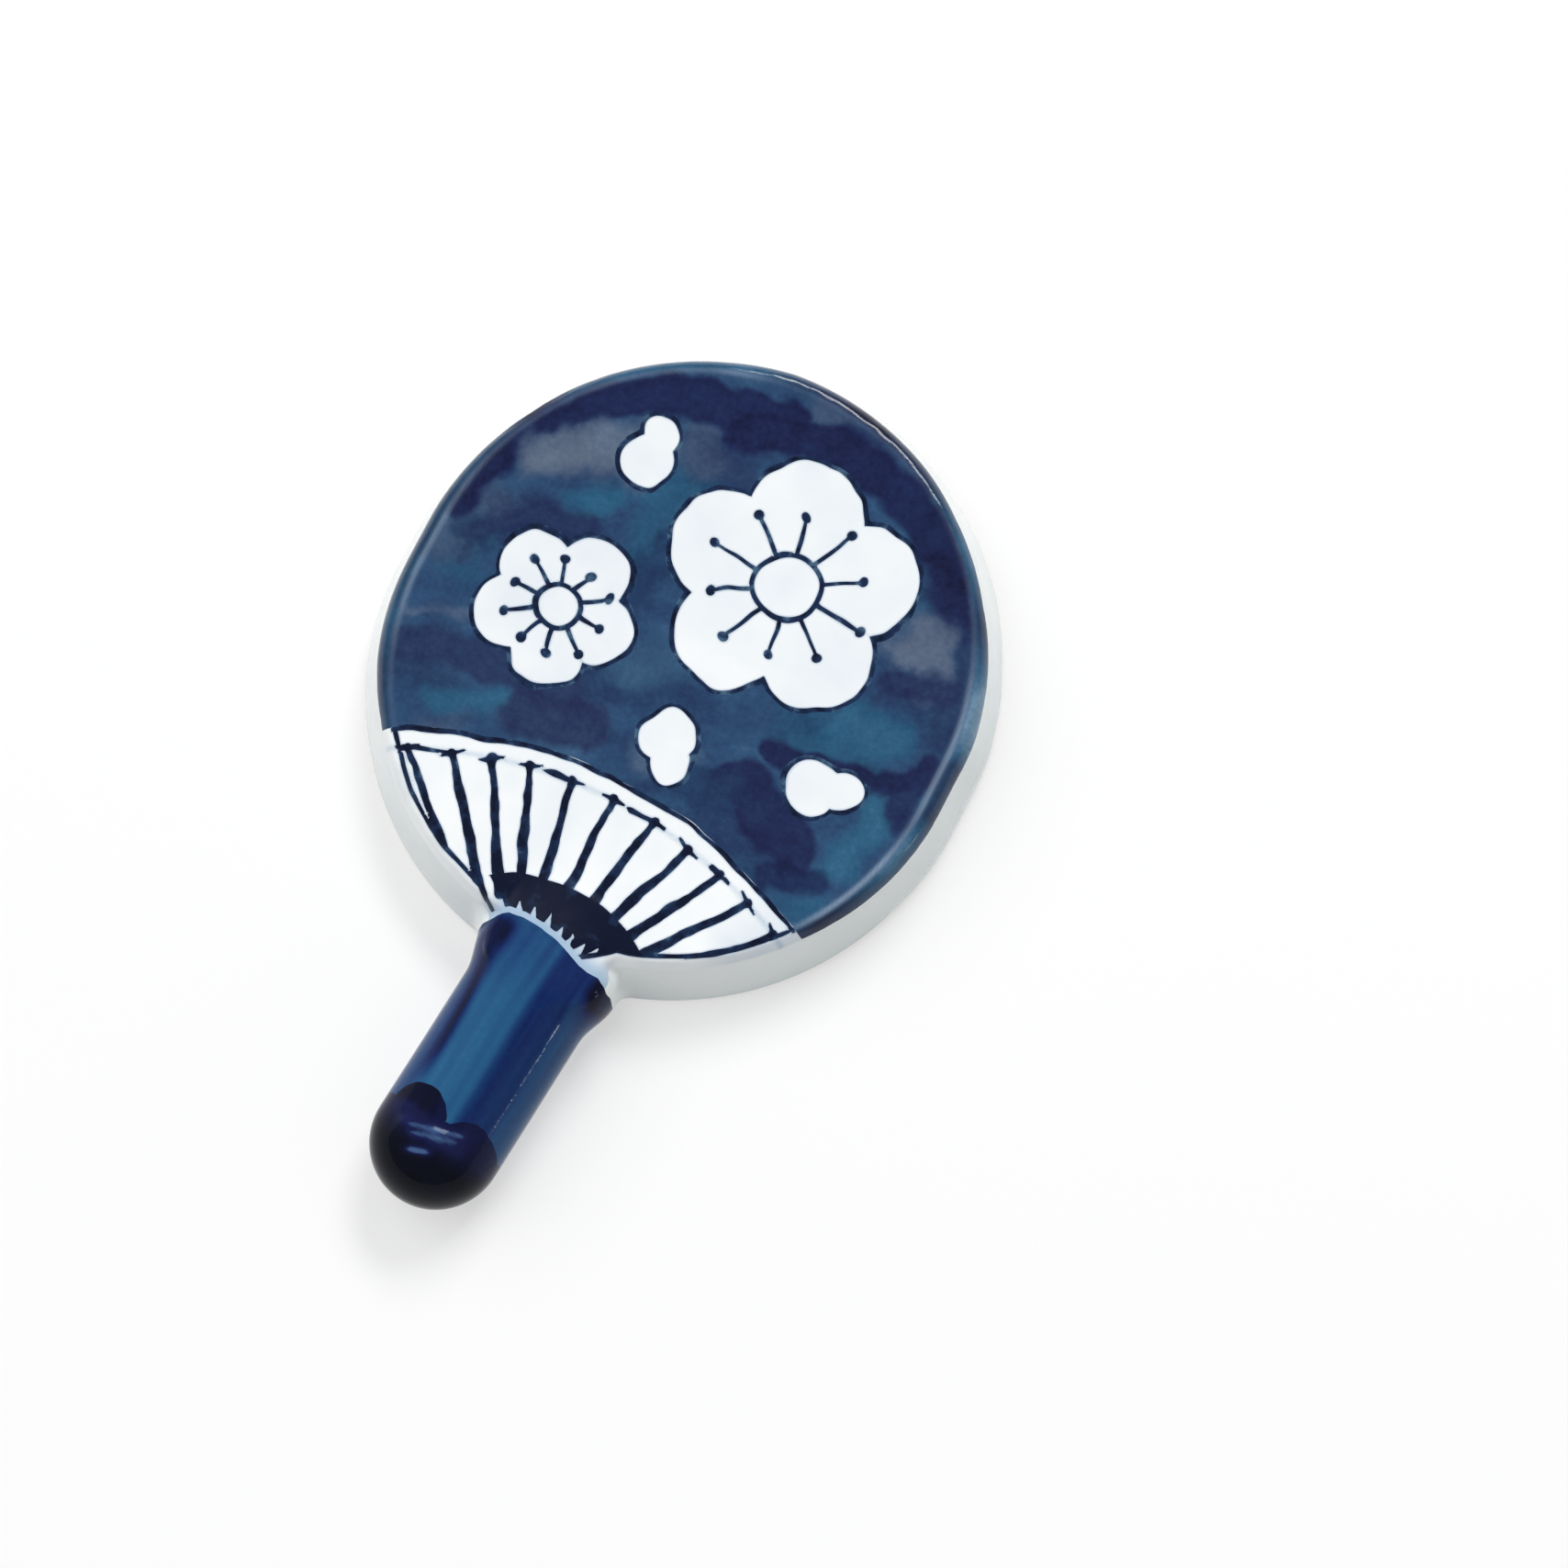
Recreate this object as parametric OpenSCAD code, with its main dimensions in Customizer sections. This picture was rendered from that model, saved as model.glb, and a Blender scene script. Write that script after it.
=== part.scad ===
// Porcelain chopstick rest in the form of a round hand fan.
// The leaf is a pressed oval plate on a flat foot, the handle is a stubby round grip that is set
// onto its edge with slip, and the cobalt washes, brush lines and clear glaze are thin coats.
// Millimetres, +Z up. The foot stands on Z = 0, the handle points to -Y, and the origin lies under
// the middle of the whole piece.

/* [Leaf] */
// Width of the painted face, from edge to edge
leaf_w = 41.5; // [34:0.5:52]
// Straight length that makes the round leaf oval
leaf_pull = 3.2; // [1:0.1:8]
// Height of the lip round the face
leaf_h = 5.8; // [5.2:0.1:6.6]
// Width of the rounded edge outside the lip
lip_w = 1; // [0.9:0.1:2]
// Fall from the lip to the lower border of the painted edge
lip_drop = 1; // [0.6:0.1:1.4]
// Depth of the shallow dish in the face
dish = 0.6; // [0.3:0.05:1]
// How far the white wall spreads from the painted edge down to the foot
wall_flare = 1.4; // [0.6:0.1:2]

/* [Foot] */
// Width of the flat ring that stands on the table
foot_w = 4.5; // [3:0.1:7]
// Radius of the rounded outer border of the foot
foot_round = 0.6; // [0.3:0.1:0.8]
// Depth of the hollow inside the foot ring
hollow = 1.1; // [0.6:0.1:1.6]
// Width of the slope between the foot ring and the hollow
hollow_slope = 1.6; // [0.8:0.1:3]

/* [Handle] */
// Diameter of the round handle
handle_d = 9; // [8:0.1:10.2]
// Length of the handle between the middles of its two round ends
handle_len = 14.4; // [10:0.1:20]
// Lean of the handle out of the leaf's axis, in degrees
handle_lean = 4.5; // [0:0.5:8]
// Height of the handle's axis over the table
handle_z = 2.9; // [2.6:0.1:3.4]
// Height of the handle's flat underside over the table
handle_lift = 0.3; // [0.2:0.05:0.8]
// Swelling of the handle's radius towards the leaf
swell = 0.75; // [0.2:0.05:1]
// Length over which the handle swells
swell_len = 3.4; // [2:0.1:6]
// Slope of the handle's back over the swelling, down to the face, in degrees
back_slope = 13; // [6:0.5:14]
// Length of the round nose that laps onto the leaf
nose_len = 2.2; // [1.9:0.1:2.8]
// How far the middle of the nose lies outside the painted edge of the leaf
nose_out = 1.1; // [0.7:0.1:1.4]
// Sideways place of the nose
nose_side = 1.4; // [-2:0.1:2]

/* [Neck] */
// Radius of the slip fillet on the left of the handle
left_fillet = 2; // [1.2:0.1:3]
// Radius of the slip fillet on the right of the handle
right_fillet = 1.4; // [0.8:0.1:3]
// Height of the fillets where they meet the wall of the leaf
fillet_h = 4.5; // [3.8:0.1:4.7]

/* [Coats] */
// Thickness of a coat of wash or glaze
coat_t = 0.16; // [0.1:0.02:0.3]
// Seat between a coat and the body under it
seat = 0.02; // [0.01:0.01:0.05]
// Gap between coats that lie side by side
seam = 0.04; // [0.02:0.01:0.1]
// Width of a brush line
line_w = 0.38; // [0.25:0.01:0.6]
// Length of the dark wash on the end of the handle
tip_len = 5.7; // [4.6:0.1:8]
// Radius of the lobes along the border of the dark wash
lobe_r = 2.1; // [1.4:0.1:2.6]

/* [Rib window] */
// Radius of the border between the blue field and the rib window
window_r = 34.1; // [28:0.1:42]
// Height of the window's top over the lower painted edge
window_h = 12.6; // [11:0.1:15]
// Width of the white band along the top of the window
band_w = 1.3; // [0.8:0.1:2]
// Number of ribs
ribs = 11; // [7:2:15]
// Spacing of the ribs along the arc
rib_pitch = 3; // [2.2:0.1:3.6]
// Width of the crossbar at the head of each rib
rib_head_w = 1.5; // [0.8:0.1:2]
// Sideways place of the point where the ribs would meet
meet_side = 1; // [-2:0.1:2]
// How far that point lies outside the painted edge of the leaf
meet_out = 6.1; // [5:0.1:9]
// Radius of the dark gather of the ribs, from the point where they would meet
gather_r = 10.4; // [9:0.1:12]
// Radius of the handle's collar line on the face
collar_r = 7.5; // [6:0.1:9]
// White margin between the collar and the gather
collar_margin = 0.35; // [0.2:0.05:0.6]
// Number of white spikes in the gather
spikes = 9; // [5:2:11]
// Spacing of the spikes along the collar
spike_pitch = 1.1; // [0.8:0.05:1.4]
// Length of a spike
spike_len = 1.2; // [0.6:0.1:1.8]
// Width of a spike at its foot
spike_w = 0.6; // [0.4:0.05:0.8]
// White strip between the window's lower line and the painted edge
strip_w = 0.7; // [0.5:0.1:1.5]

/* [Blossoms] */
// Distance from the middle of the large blossom to the middle of a petal
big_petal_d = 5.2; // [4.6:0.1:5.6]
// Radius of a petal of the large blossom
big_petal_r = 4.1; // [3.6:0.1:4.4]
// Distance from the middle of the small blossom to the middle of a petal
small_petal_d = 3.3; // [2.8:0.1:3.6]
// Radius of a petal of the small blossom
small_petal_r = 2.6; // [2.2:0.1:2.9]
// Radius of a round bud
bud_r = 2; // [1.5:0.1:2.2]
// Number of petals of a blossom
petals = 5; // [4:1:6]

/* [Hidden] */
$fn = 180;
over = 1;

// Leaf
leaf_r = leaf_w / 2;
leaf_low = leaf_r + leaf_pull / 2;
crest_r = leaf_r - lip_w;
base_r = leaf_r + wall_flare;
edge_z = leaf_h - lip_drop;
foot_out_r = base_r - foot_round;
foot_in_r = foot_out_r - foot_w;
lip_turn = 66;
dish_steps = 5;
lip_steps = 5;
round_steps = 4;
coat_out = seat + coat_t;
low_circle_y = -leaf_pull / 2;

// Handle
handle_r = handle_d / 2;
nose_r = handle_r + swell;
nose_power = 0.7;
nose_down = leaf_low + nose_out;
handle_end = nose_down + handle_len * cos(handle_lean) + handle_r;
wash_low_z = handle_lift + line_w;
end_steps = 9;
swell_steps = 6;

// The handle's back is a wide crown, which trims the swelling to the height of the grip, and a
// flatter one trims it along the slope down to the face.
crown_share = 1.8;
crown_gap = 0.05;
crown_r = crown_share * handle_r;
crown_z = handle_z + handle_r + crown_gap - crown_r;
back_r = 2 * crown_r;

// The leaf sits so that the whole piece is centred on the origin.
leaf_y = (handle_end - (base_r + leaf_pull / 2)) / 2;

// Where the nose comes out of the face, and the round collar line through that point
nose_reach = nose_len * pow(1 - pow((leaf_h - handle_z) / nose_r, 2 / nose_power), nose_power / 2);
collar_y = nose_reach - nose_down - collar_r;

// Rib window
window_y = window_h - leaf_low - window_r;
inner_r = window_r - band_w;
meet_at = [meet_side, -leaf_low - meet_out];
spike_turn = spike_pitch / (collar_r + collar_margin) * 180 / PI;

// Blossoms: places as shares of the leaf's radius, parts as shares of a blossom's reach
big_at_share = [0.2, 0.39];
big_turn = 12;
small_at_share = [-0.47, -0.03];
small_turn = -20;
bud_at_shares = [[-0.43, 0.57], [0.6, -0.2], [0.08, -0.26]];
bud_turn = -75;
bud_tip_share = 0.7;
heart_share = 0.26;
stamen_share = 0.62;

// Outline functions

function reversed(list) = [for (i = [len(list) - 1:-1:0]) list[i]];

function pushed(p, n, d) = p + n * d / norm(n);

function dish_point(s) = [s * crest_r, leaf_h - dish * (1 - s * s)];

function dish_normal(s) = [-2 * dish * s, crest_r];

function lip_point(a) = [
    crest_r + lip_w * sin(a) / sin(lip_turn),
    leaf_h - lip_drop * (1 - cos(a)) / (1 - cos(lip_turn))
];

function lip_normal(a) = [lip_drop * sin(a) / (1 - cos(lip_turn)), lip_w * cos(a) / sin(lip_turn)];

wall_normal = [edge_z - foot_round, wall_flare];

// The face from its middle out to the painted edge, moved out of the body by d
function face_curve(d) = concat(
    [for (i = [0:dish_steps]) pushed(dish_point(i / dish_steps), dish_normal(i / dish_steps), d)],
    [for (i = [1:lip_steps]) pushed(lip_point(lip_turn * i / lip_steps), lip_normal(lip_turn * i / lip_steps), d)]
);

function foot_curve() = [
    for (i = [0:round_steps])
        [foot_out_r + foot_round * sin(90 * i / round_steps), foot_round * (1 - cos(90 * i / round_steps))]
];

function leaf_profile() = concat(
    [[0, hollow], [foot_in_r - hollow_slope, hollow], [foot_in_r, 0]],
    foot_curve(),
    reversed(face_curve(0))
);

// The leaf with its hollow filled, grown by d: what is luted on stops here
function blank_profile(d) = concat([[0, -over], [base_r + d, -over], [base_r + d, foot_round]], reversed(face_curve(d)));

function coat_profile() = concat(face_curve(seat), reversed(face_curve(coat_out)));

// The clear glaze on the wall stops short of the painted edge and of the foot.
function wall_profile() = let (low = [base_r, foot_round], high = [leaf_r, edge_z - 2 * seam]) [
    pushed(low, wall_normal, seat), pushed(low, wall_normal, coat_out),
    pushed(high, wall_normal, coat_out), pushed(high, wall_normal, seat)
];

// The handle round its own axis, as [radius, place], from the tip of the nose to the far end
function nose_curve(d) = [
    for (i = [0:end_steps - 1]) let (a = 90 * i / end_steps)
        [(nose_r + d) * pow(sin(a), nose_power), (nose_len + d) * pow(cos(a), nose_power)]
];

function swell_curve(d) = [
    for (i = [0:swell_steps])
        [handle_r + d + swell * (1 + cos(180 * i / swell_steps)) / 2, -swell_len * i / swell_steps]
];

function end_curve(d) = [
    for (i = [0:end_steps])
        [(handle_r + d) * cos(90 * i / end_steps), -handle_len - (handle_r + d) * sin(90 * i / end_steps)]
];

function handle_profile(d) = concat(nose_curve(d), swell_curve(d), end_curve(d));

// The middle of the leaf's lower half circle, seen from the nose along the handle
leaf_from_nose = let (v = [-nose_side, leaf_r + nose_out]) [
    v[0] * cos(handle_lean) - v[1] * sin(handle_lean),
    v[0] * sin(handle_lean) + v[1] * cos(handle_lean)
];

// The middle of a slip fillet that touches the leaf's wall and the handle half way up its swelling
function fillet_at(side, r) = let (x = side * (handle_r + swell / 2 + r)) [
    x,
    leaf_from_nose[1] - sqrt(pow(base_r + r, 2) - pow(x - leaf_from_nose[0], 2))
];

// Solid modules

// A round form pulled apart along Y, with a straight stretch between its two halves
module pulled(points) {
    translate([0, leaf_pull / 2, 0]) rotate_extrude(angle = 180) polygon(points);
    translate([0, -leaf_pull / 2, 0]) rotate([0, 0, 180]) rotate_extrude(angle = 180) polygon(points);
    for (side = [0, 1])
        mirror([side, 0, 0]) rotate([90, 0, 0]) linear_extrude(leaf_pull, center = true) polygon(points);
}

module at_leaf() {
    translate([0, leaf_y, 0]) children();
}

// The handle's own frame: its origin lies under the nose, and the handle runs along -Y
module at_handle() {
    at_leaf() translate([nose_side, -nose_down, 0]) rotate([0, 0, -handle_lean]) children();
}

module leaf_blank(d) {
    at_leaf() pulled(blank_profile(d));
}

// Everything over a level, wide enough for the whole piece
module above(z) {
    side = 4 * handle_end;
    translate([-side / 2, -side / 2, z]) cube(side);
}

module handle_form(d) {
    at_handle() intersection() {
        translate([0, 0, handle_z]) rotate([-90, 0, 0]) rotate_extrude() polygon(handle_profile(d));
        translate([0, over + nose_len, crown_z]) rotate([90, 0, 0])
            cylinder(r = crown_r + d, h = handle_len + nose_len + handle_r + 2 * over);
        translate([0, -swell_len, crown_z + crown_r]) rotate([90 - back_slope, 0, 0]) translate([0, -back_r, 0])
            cylinder(r = back_r + d, h = 4 * handle_len, center = true);
    }
}

// Web on both sides of the handle: concave in plan, rising from the handle's side to the wall
module neck_form(d) {
    left = fillet_at(-1, left_fillet);
    right = fillet_at(1, right_fillet);
    front = min(left[1], right[1]);
    back = leaf_from_nose[1];
    rise = [
        [front - d, 0], [front - d, handle_z + d], [front + left_fillet - d, fillet_h + d],
        [back, fillet_h + d], [back, 0]
    ];
    at_handle() intersection() {
        linear_extrude(leaf_h) difference() {
            polygon([left, right, leaf_from_nose]);
            translate(left) circle(left_fillet - d);
            translate(right) circle(right_fillet - d);
        }
        rotate([90, 0, 90]) linear_extrude(4 * nose_r, center = true) polygon(rise);
    }
}

// A coat on the leaf's face, cut to the flat pattern that the children draw
module face_coat() {
    difference() {
        at_leaf() intersection() {
            pulled(coat_profile());
            translate([0, 0, edge_z - over]) linear_extrude(lip_drop + 2 * over) children();
        }
        handle_form(coat_out + seat);
    }
}

module handle_coat() {
    difference() {
        intersection() {
            difference() {
                handle_form(coat_out);
                handle_form(seat);
            }
            above(wash_low_z);
            at_handle() linear_extrude(2 * leaf_h) children();
        }
        leaf_blank(coat_out + seat);
        neck_form(seat);
    }
}

// Flat patterns, drawn from the middle of the leaf

module whole_face() {
    square(2 * (base_r + leaf_pull), center = true);
}

module window_area(grow) {
    translate([0, window_y]) circle(window_r + grow);
}

module petal_ring(d, r, grow) {
    for (i = [0:petals - 1])
        rotate(360 * i / petals) translate([0, d]) circle(r + grow);
    circle(d + grow);
}

module blossom_area(grow) {
    translate(leaf_r * big_at_share) rotate(big_turn) petal_ring(big_petal_d, big_petal_r, grow);
    translate(leaf_r * small_at_share) rotate(small_turn) petal_ring(small_petal_d, small_petal_r, grow);
    for (i = [0:len(bud_at_shares) - 1])
        translate(leaf_r * bud_at_shares[i]) rotate(bud_turn * i) {
            circle(bud_r + grow);
            translate([0, bud_r]) circle(bud_r * bud_tip_share + grow);
        }
}

// A ring for the heart, and stamens with a dot on each end
module stamens(reach, grow) {
    heart = reach * heart_share;
    tip = reach * stamen_share;
    difference() {
        circle(heart + line_w / 2 + grow);
        circle(heart - line_w / 2 - grow);
    }
    for (i = [0:2 * petals - 1])
        rotate(180 * i / petals) {
            translate([-line_w / 2 - grow, heart]) square([line_w + 2 * grow, tip - heart]);
            translate([0, tip]) circle(line_w + grow);
        }
}

module stamen_area(grow) {
    translate(leaf_r * big_at_share) rotate(big_turn) stamens(big_petal_d + big_petal_r, grow);
    translate(leaf_r * small_at_share) rotate(small_turn) stamens(small_petal_d + small_petal_r, grow);
}

module ring_line(r, grow) {
    difference() {
        circle(r + grow);
        circle(r - line_w - grow);
    }
}

// Ribs with a crossbar at the head, all running towards the point where they would meet
module rib_set(grow) {
    step = rib_pitch / inner_r * 180 / PI;
    half = (ribs - 1) / 2;
    for (i = [-half:half]) {
        head = [inner_r * sin(i * step), window_y + (inner_r - line_w / 2) * cos(i * step)];
        run = meet_at - head;
        translate(head) rotate(atan2(run[1], run[0])) {
            translate([0, -line_w / 2 - grow]) square([norm(run), line_w + 2 * grow]);
            translate([-grow, -rib_head_w / 2 - grow]) square([2 * line_w + 2 * grow, rib_head_w + 2 * grow]);
        }
    }
}

// The window inside its lower line
module window_inside(grow) {
    translate([0, low_circle_y]) circle(leaf_r - strip_w - line_w - grow);
}

module gather_area(grow) {
    difference() {
        intersection() {
            translate(meet_at) circle(gather_r + grow);
            window_inside(-grow);
        }
        translate([nose_side, collar_y]) circle(collar_r + collar_margin - grow);
        translate([nose_side, collar_y])
            for (i = [(1 - spikes) / 2:(spikes - 1) / 2])
                rotate(spike_turn * i) translate([0, collar_r]) polygon([
                    [-spike_w / 2, 0], [spike_w / 2, 0], [0, collar_margin + spike_len]
                ]);
    }
}

module line_area(grow) {
    difference() {
        intersection() {
            union() {
                translate([0, window_y]) ring_line(window_r, grow);
                translate([0, window_y]) ring_line(inner_r, grow);
                translate([0, low_circle_y]) ring_line(leaf_r - strip_w, grow);
                intersection() {
                    rib_set(grow);
                    window_inside(0);
                }
            }
            window_area(grow);
            translate([0, low_circle_y]) circle(leaf_r - strip_w + grow);
        }
        gather_area(seam - grow);
        translate([nose_side, collar_y]) circle(collar_r + collar_margin - grow);
    }
}

// The dark end of the handle, with two brush lobes along its border
module tip_area(grow) {
    border = tip_len - handle_len - handle_r;
    translate([-handle_d, border + grow - 2 * tip_len]) square([2 * handle_d, 2 * tip_len]);
    for (side = [-1, 1])
        translate([side * handle_r / 2, border - lobe_r / 3]) circle(lobe_r + grow);
}

// Sub-parts

module leaf_body() {
    color("aliceblue") at_leaf() pulled(leaf_profile());
}

module handle_body() {
    color("aliceblue") difference() {
        intersection() {
            handle_form(0);
            above(handle_lift);
        }
        leaf_blank(seat);
    }
}

module neck_slip() {
    color("white") difference() {
        intersection() {
            neck_form(0);
            above(handle_lift);
        }
        leaf_blank(seat);
        handle_form(seat);
    }
}

module wall_glaze() {
    color("ghostwhite") difference() {
        at_leaf() pulled(wall_profile());
        handle_form(seat);
        neck_form(seat);
    }
}

module leaf_wash() {
    color("midnightblue") face_coat() difference() {
        whole_face();
        window_area(seam);
        blossom_area(line_w + 2 * seam);
    }
}

module blossom_glaze() {
    color("white") face_coat() difference() {
        blossom_area(0);
        stamen_area(seam);
    }
}

module blossom_lines() {
    color("darkslategray") face_coat() {
        difference() {
            blossom_area(line_w + seam);
            blossom_area(seam);
        }
        stamen_area(0);
    }
}

module window_glaze() {
    color("white") face_coat() difference() {
        window_area(0);
        line_area(seam);
        gather_area(seam);
    }
}

module window_lines() {
    color("midnightblue") face_coat() line_area(0);
}

module rib_gather() {
    color("black") face_coat() gather_area(0);
}

module handle_wash() {
    color("steelblue") handle_coat() difference() {
        square(4 * (handle_len + handle_r), center = true);
        tip_area(seam);
    }
}

module tip_wash() {
    color("black") handle_coat() tip_area(0);
}

leaf_body();
handle_body();
neck_slip();
wall_glaze();
leaf_wash();
blossom_glaze();
blossom_lines();
window_glaze();
window_lines();
rib_gather();
handle_wash();
tip_wash();
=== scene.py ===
import math

import bpy
import numpy as np
from mathutils import Matrix, Vector


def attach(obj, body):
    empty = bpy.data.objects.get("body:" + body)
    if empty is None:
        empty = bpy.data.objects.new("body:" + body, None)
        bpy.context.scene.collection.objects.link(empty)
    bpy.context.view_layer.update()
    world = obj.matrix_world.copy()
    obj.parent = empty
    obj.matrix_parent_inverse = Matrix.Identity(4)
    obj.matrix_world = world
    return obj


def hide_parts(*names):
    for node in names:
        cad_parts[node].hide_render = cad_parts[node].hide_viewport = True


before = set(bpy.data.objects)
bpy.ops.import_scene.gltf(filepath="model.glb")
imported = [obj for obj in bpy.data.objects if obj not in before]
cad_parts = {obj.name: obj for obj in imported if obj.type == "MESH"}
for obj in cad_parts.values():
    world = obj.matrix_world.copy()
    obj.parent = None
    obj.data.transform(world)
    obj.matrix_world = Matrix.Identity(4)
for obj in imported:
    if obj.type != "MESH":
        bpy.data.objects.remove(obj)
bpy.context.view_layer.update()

# The construction's own sizes, in millimetres
MM = 0.001
LEAF_R, LEAF_PULL, LEAF_H = 20.75, 3.2, 5.8
LIP_W, LIP_DROP, LIP_TURN, DISH = 1.0, 1.0, 66.0, 0.6
WALL_FLARE, FOOT_ROUND = 1.4, 0.6
CREST_R, EDGE_Z, BASE_R = LEAF_R - LIP_W, LEAF_H - LIP_DROP, LEAF_R + WALL_FLARE
LEAF_LOW = LEAF_R + LEAF_PULL / 2
HANDLE_R, HANDLE_LEN, HANDLE_LEAN, HANDLE_Z = 4.5, 14.4, math.radians(4.5), 2.9
SWELL, SWELL_LEN, NOSE_LEN, NOSE_OUT, NOSE_SIDE, NOSE_POWER = 0.75, 3.4, 2.2, 1.1, 1.4, 0.7
BACK_SLOPE = math.radians(13)
NOSE_R, NOSE_DOWN = HANDLE_R + SWELL, LEAF_LOW + NOSE_OUT
CROWN_R = 1.8 * HANDLE_R
CROWN_Z = HANDLE_Z + HANDLE_R + 0.05 - CROWN_R
BACK_R = 2 * CROWN_R
HANDLE_END = NOSE_DOWN + HANDLE_LEN * math.cos(HANDLE_LEAN) + HANDLE_R
LEAF_Y = (HANDLE_END - BASE_R - LEAF_PULL / 2) / 2
LINE_W = 0.38
WINDOW_R, WINDOW_H, BAND_W = 34.1, 12.6, 1.3
WINDOW_Y, INNER_R = WINDOW_H - LEAF_LOW - WINDOW_R, WINDOW_R - BAND_W
RIBS, RIB_PITCH, RIB_HEAD = 11, 3.05, 1.8
MEET = (1.0, -LEAF_LOW - 6.1)
GATHER_R, STRIP_W = 10.4, 0.7
TIP_LEN = 5.7
PETALS = 5
# Blossoms: middle, turn, distance of the petals' middles, radius of a petal
BIG = (0.2 * LEAF_R, 0.39 * LEAF_R, 12.0, 5.2, 4.1)
SMALL = (-0.47 * LEAF_R, -0.03 * LEAF_R, -20.0, 3.3, 2.6)
# Buds: middle and turn
BUDS = [
    (-0.43 * LEAF_R, 0.57 * LEAF_R, 0.0),
    (0.6 * LEAF_R, -0.2 * LEAF_R, -75.0),
    (0.08 * LEAF_R, -0.26 * LEAF_R, -150.0),
]
BUD_R, BUD_TOP_SHARE = 2.0, 0.7

# What the firing adds, in millimetres and degrees
# The coat: its thickness, its least thickness, the height where it ends, the depth of its pieces
COAT, COAT_LEAST, COAT_LOW, COAT_DEEP = 0.18, 0.06, 0.64, 0.14
# Its waves, by height and length, and the heights between which they, the bead and the ridges come in
LEAF_WAVE, HANDLE_WAVE = (0.035, 9.0), (0.03, 7.0)
WAVES_FROM, BEAD_FROM, RIDGE_FROM = (0.8, 2.2), (4.5, 5.4), (4.5, 6.0)
# The glaze's fillet between leaf and handle: on the face, how much wider it is at the walls, and the
# heights between which it changes
NECK_FILLET, NECK_WIDER, NECK_AT = 0.75, 0.85, (5.6, 4.4)
# How far the pressed leaf's edge runs outside (+) or inside (-) its drawn oval, by angle
EDGE = [
    (-180, 0.05), (-158, 0.12), (-145, -0.15), (-90, -0.1), (-40, -0.3), (-24, -0.1), (-8, 0.15), (6, 0.3),
    (20, 0.1), (34, -0.25), (52, -0.2), (69, 0.05), (97, 0.3), (111, 0.0), (135, -0.2), (152, -0.45),
    (162, -0.2), (180, 0.05),
]
# The share of it that the form takes, and where towards the rim that begins and ends
EDGE_SHARE, EDGE_FROM = 0.6, (17.0, 20.4)
# The bead of glaze outside the crest: height, distance, width
BEAD_H, BEAD_OUT, BEAD_W = 0.045, 0.58, 0.26
# The slip that runs on over the nose and out onto the face: middle, half sizes, rounding, underside
TONGUE, TONGUE_HALF, TONGUE_ROUND, TONGUE_LOW = (-0.1, 1.8), (3.2, 2.8), 0.5, 4.4
# The flat-topped ridge of glaze across the handle's end, and a lower one before it: place, height, width
RIDGE_V, RIDGE_H, RIDGE_W, RIDGE_TILT = -14.12, 0.165, 0.34, 0.16
FORE_V, FORE_H, FORE_W = -15.0, 0.07, 0.4
# The upper border of the handle's wash, as places across and along the handle
BORDER = [
    (-6.5, -3.0), (-5.6, -1.2), (-5.25, -0.3), (-4.95, 0.35), (-4.5, 0.95), (-3.9, 1.5), (-2.8, 1.7),
    (-1.3, 1.68), (0.0, 1.5), (1.2, 1.2), (2.25, 0.82), (3.0, 0.72), (3.8, 0.78), (4.5, 0.5), (5.1, 0.05),
    (5.5, -0.5), (5.9, -1.4), (6.5, -3.0),
]
# The white between that border and the window's paint
BORDER_GAP = 0.42
# Where the handle's wash ends at the neck: off the leaf's wall, out of the handle, past its border
WASH_OFF, WASH_OUT, WASH_PAST = 0.26, 0.14, 0.15
# The lower border of the leaf's wash: outside and above the edge, on a line that slants like this
SLANT, SLANT_OUT, SLANT_UP = (0.34, 0.94), 0.17, 0.07
# The brush lobes on the dark wash's border: across, beyond the border, radius
LOBES = [(-1.75, -0.5, 2.15), (2.5, -1.25, 2.15)]
# The straight ends of the window's painted edge at the handle: a point, and the way in
LEFT_END = (-5.4, -20.8), (0.59, 0.807)
RIGHT_END = (5.2, -21.2), (-0.618, 0.786)
# The white spikes, as angles and distances from the middle of the collar's circle
COLLAR = (NOSE_SIDE, -29.2)
SPIKES = [
    (-30, 9.5), (-22, 9.35), (-15, 9.0), (-7, 8.75), (0.5, 8.35), (7, 8.15), (14, 8.25), (20, 8.6),
    (26.5, 9.0),
]
SPIKE_LEN, SPIKE_FOOT, SPIKE_TIP = 1.3, 0.42, 0.02
# The half widths of a rib, from its head to its foot, and of the crossbar, from its middle to its ends
RIB_HALF, RIB_SWING, RIB_FOOT, BAR_HALF, BAR_END = 0.23, 0.05, 0.42, 0.2, 0.07
# The hearts and tips of the stamens, as shares of a blossom's reach, and the half widths of a stamen
HEART_SHARE, STAMEN_SHARE, STAMEN_FOOT, STAMEN_END = 0.26, 0.62, 0.17, 0.12
NOWHERE = -9.0
# The space that the skin is looked for in, and its spacing
SPACE_LOW, SPACE_HIGH, SPACING = (-22.8, -33.6, 0.3), (22.8, 33.8, 8.1), 0.2
# How far from the handle the wall's glaze belongs to the neck
NECK_REACH = 2.0


# Small numeric tools

def step(lo, hi, v):
    """From 0 at lo to 1 at hi, with soft ends."""
    t = np.clip((v - lo) / (hi - lo), 0, 1)
    return t * t * (3 - 2 * t)


def mix(a, b, t):
    return a + (b - a) * t


def join(a, b, k):
    """The union of two fields that are negative inside, with a fillet of about k."""
    h = np.clip(0.5 + 0.5 * (b - a) / k, 0, 1)
    return b + (a - b) * h - k * h * (1 - h)


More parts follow.
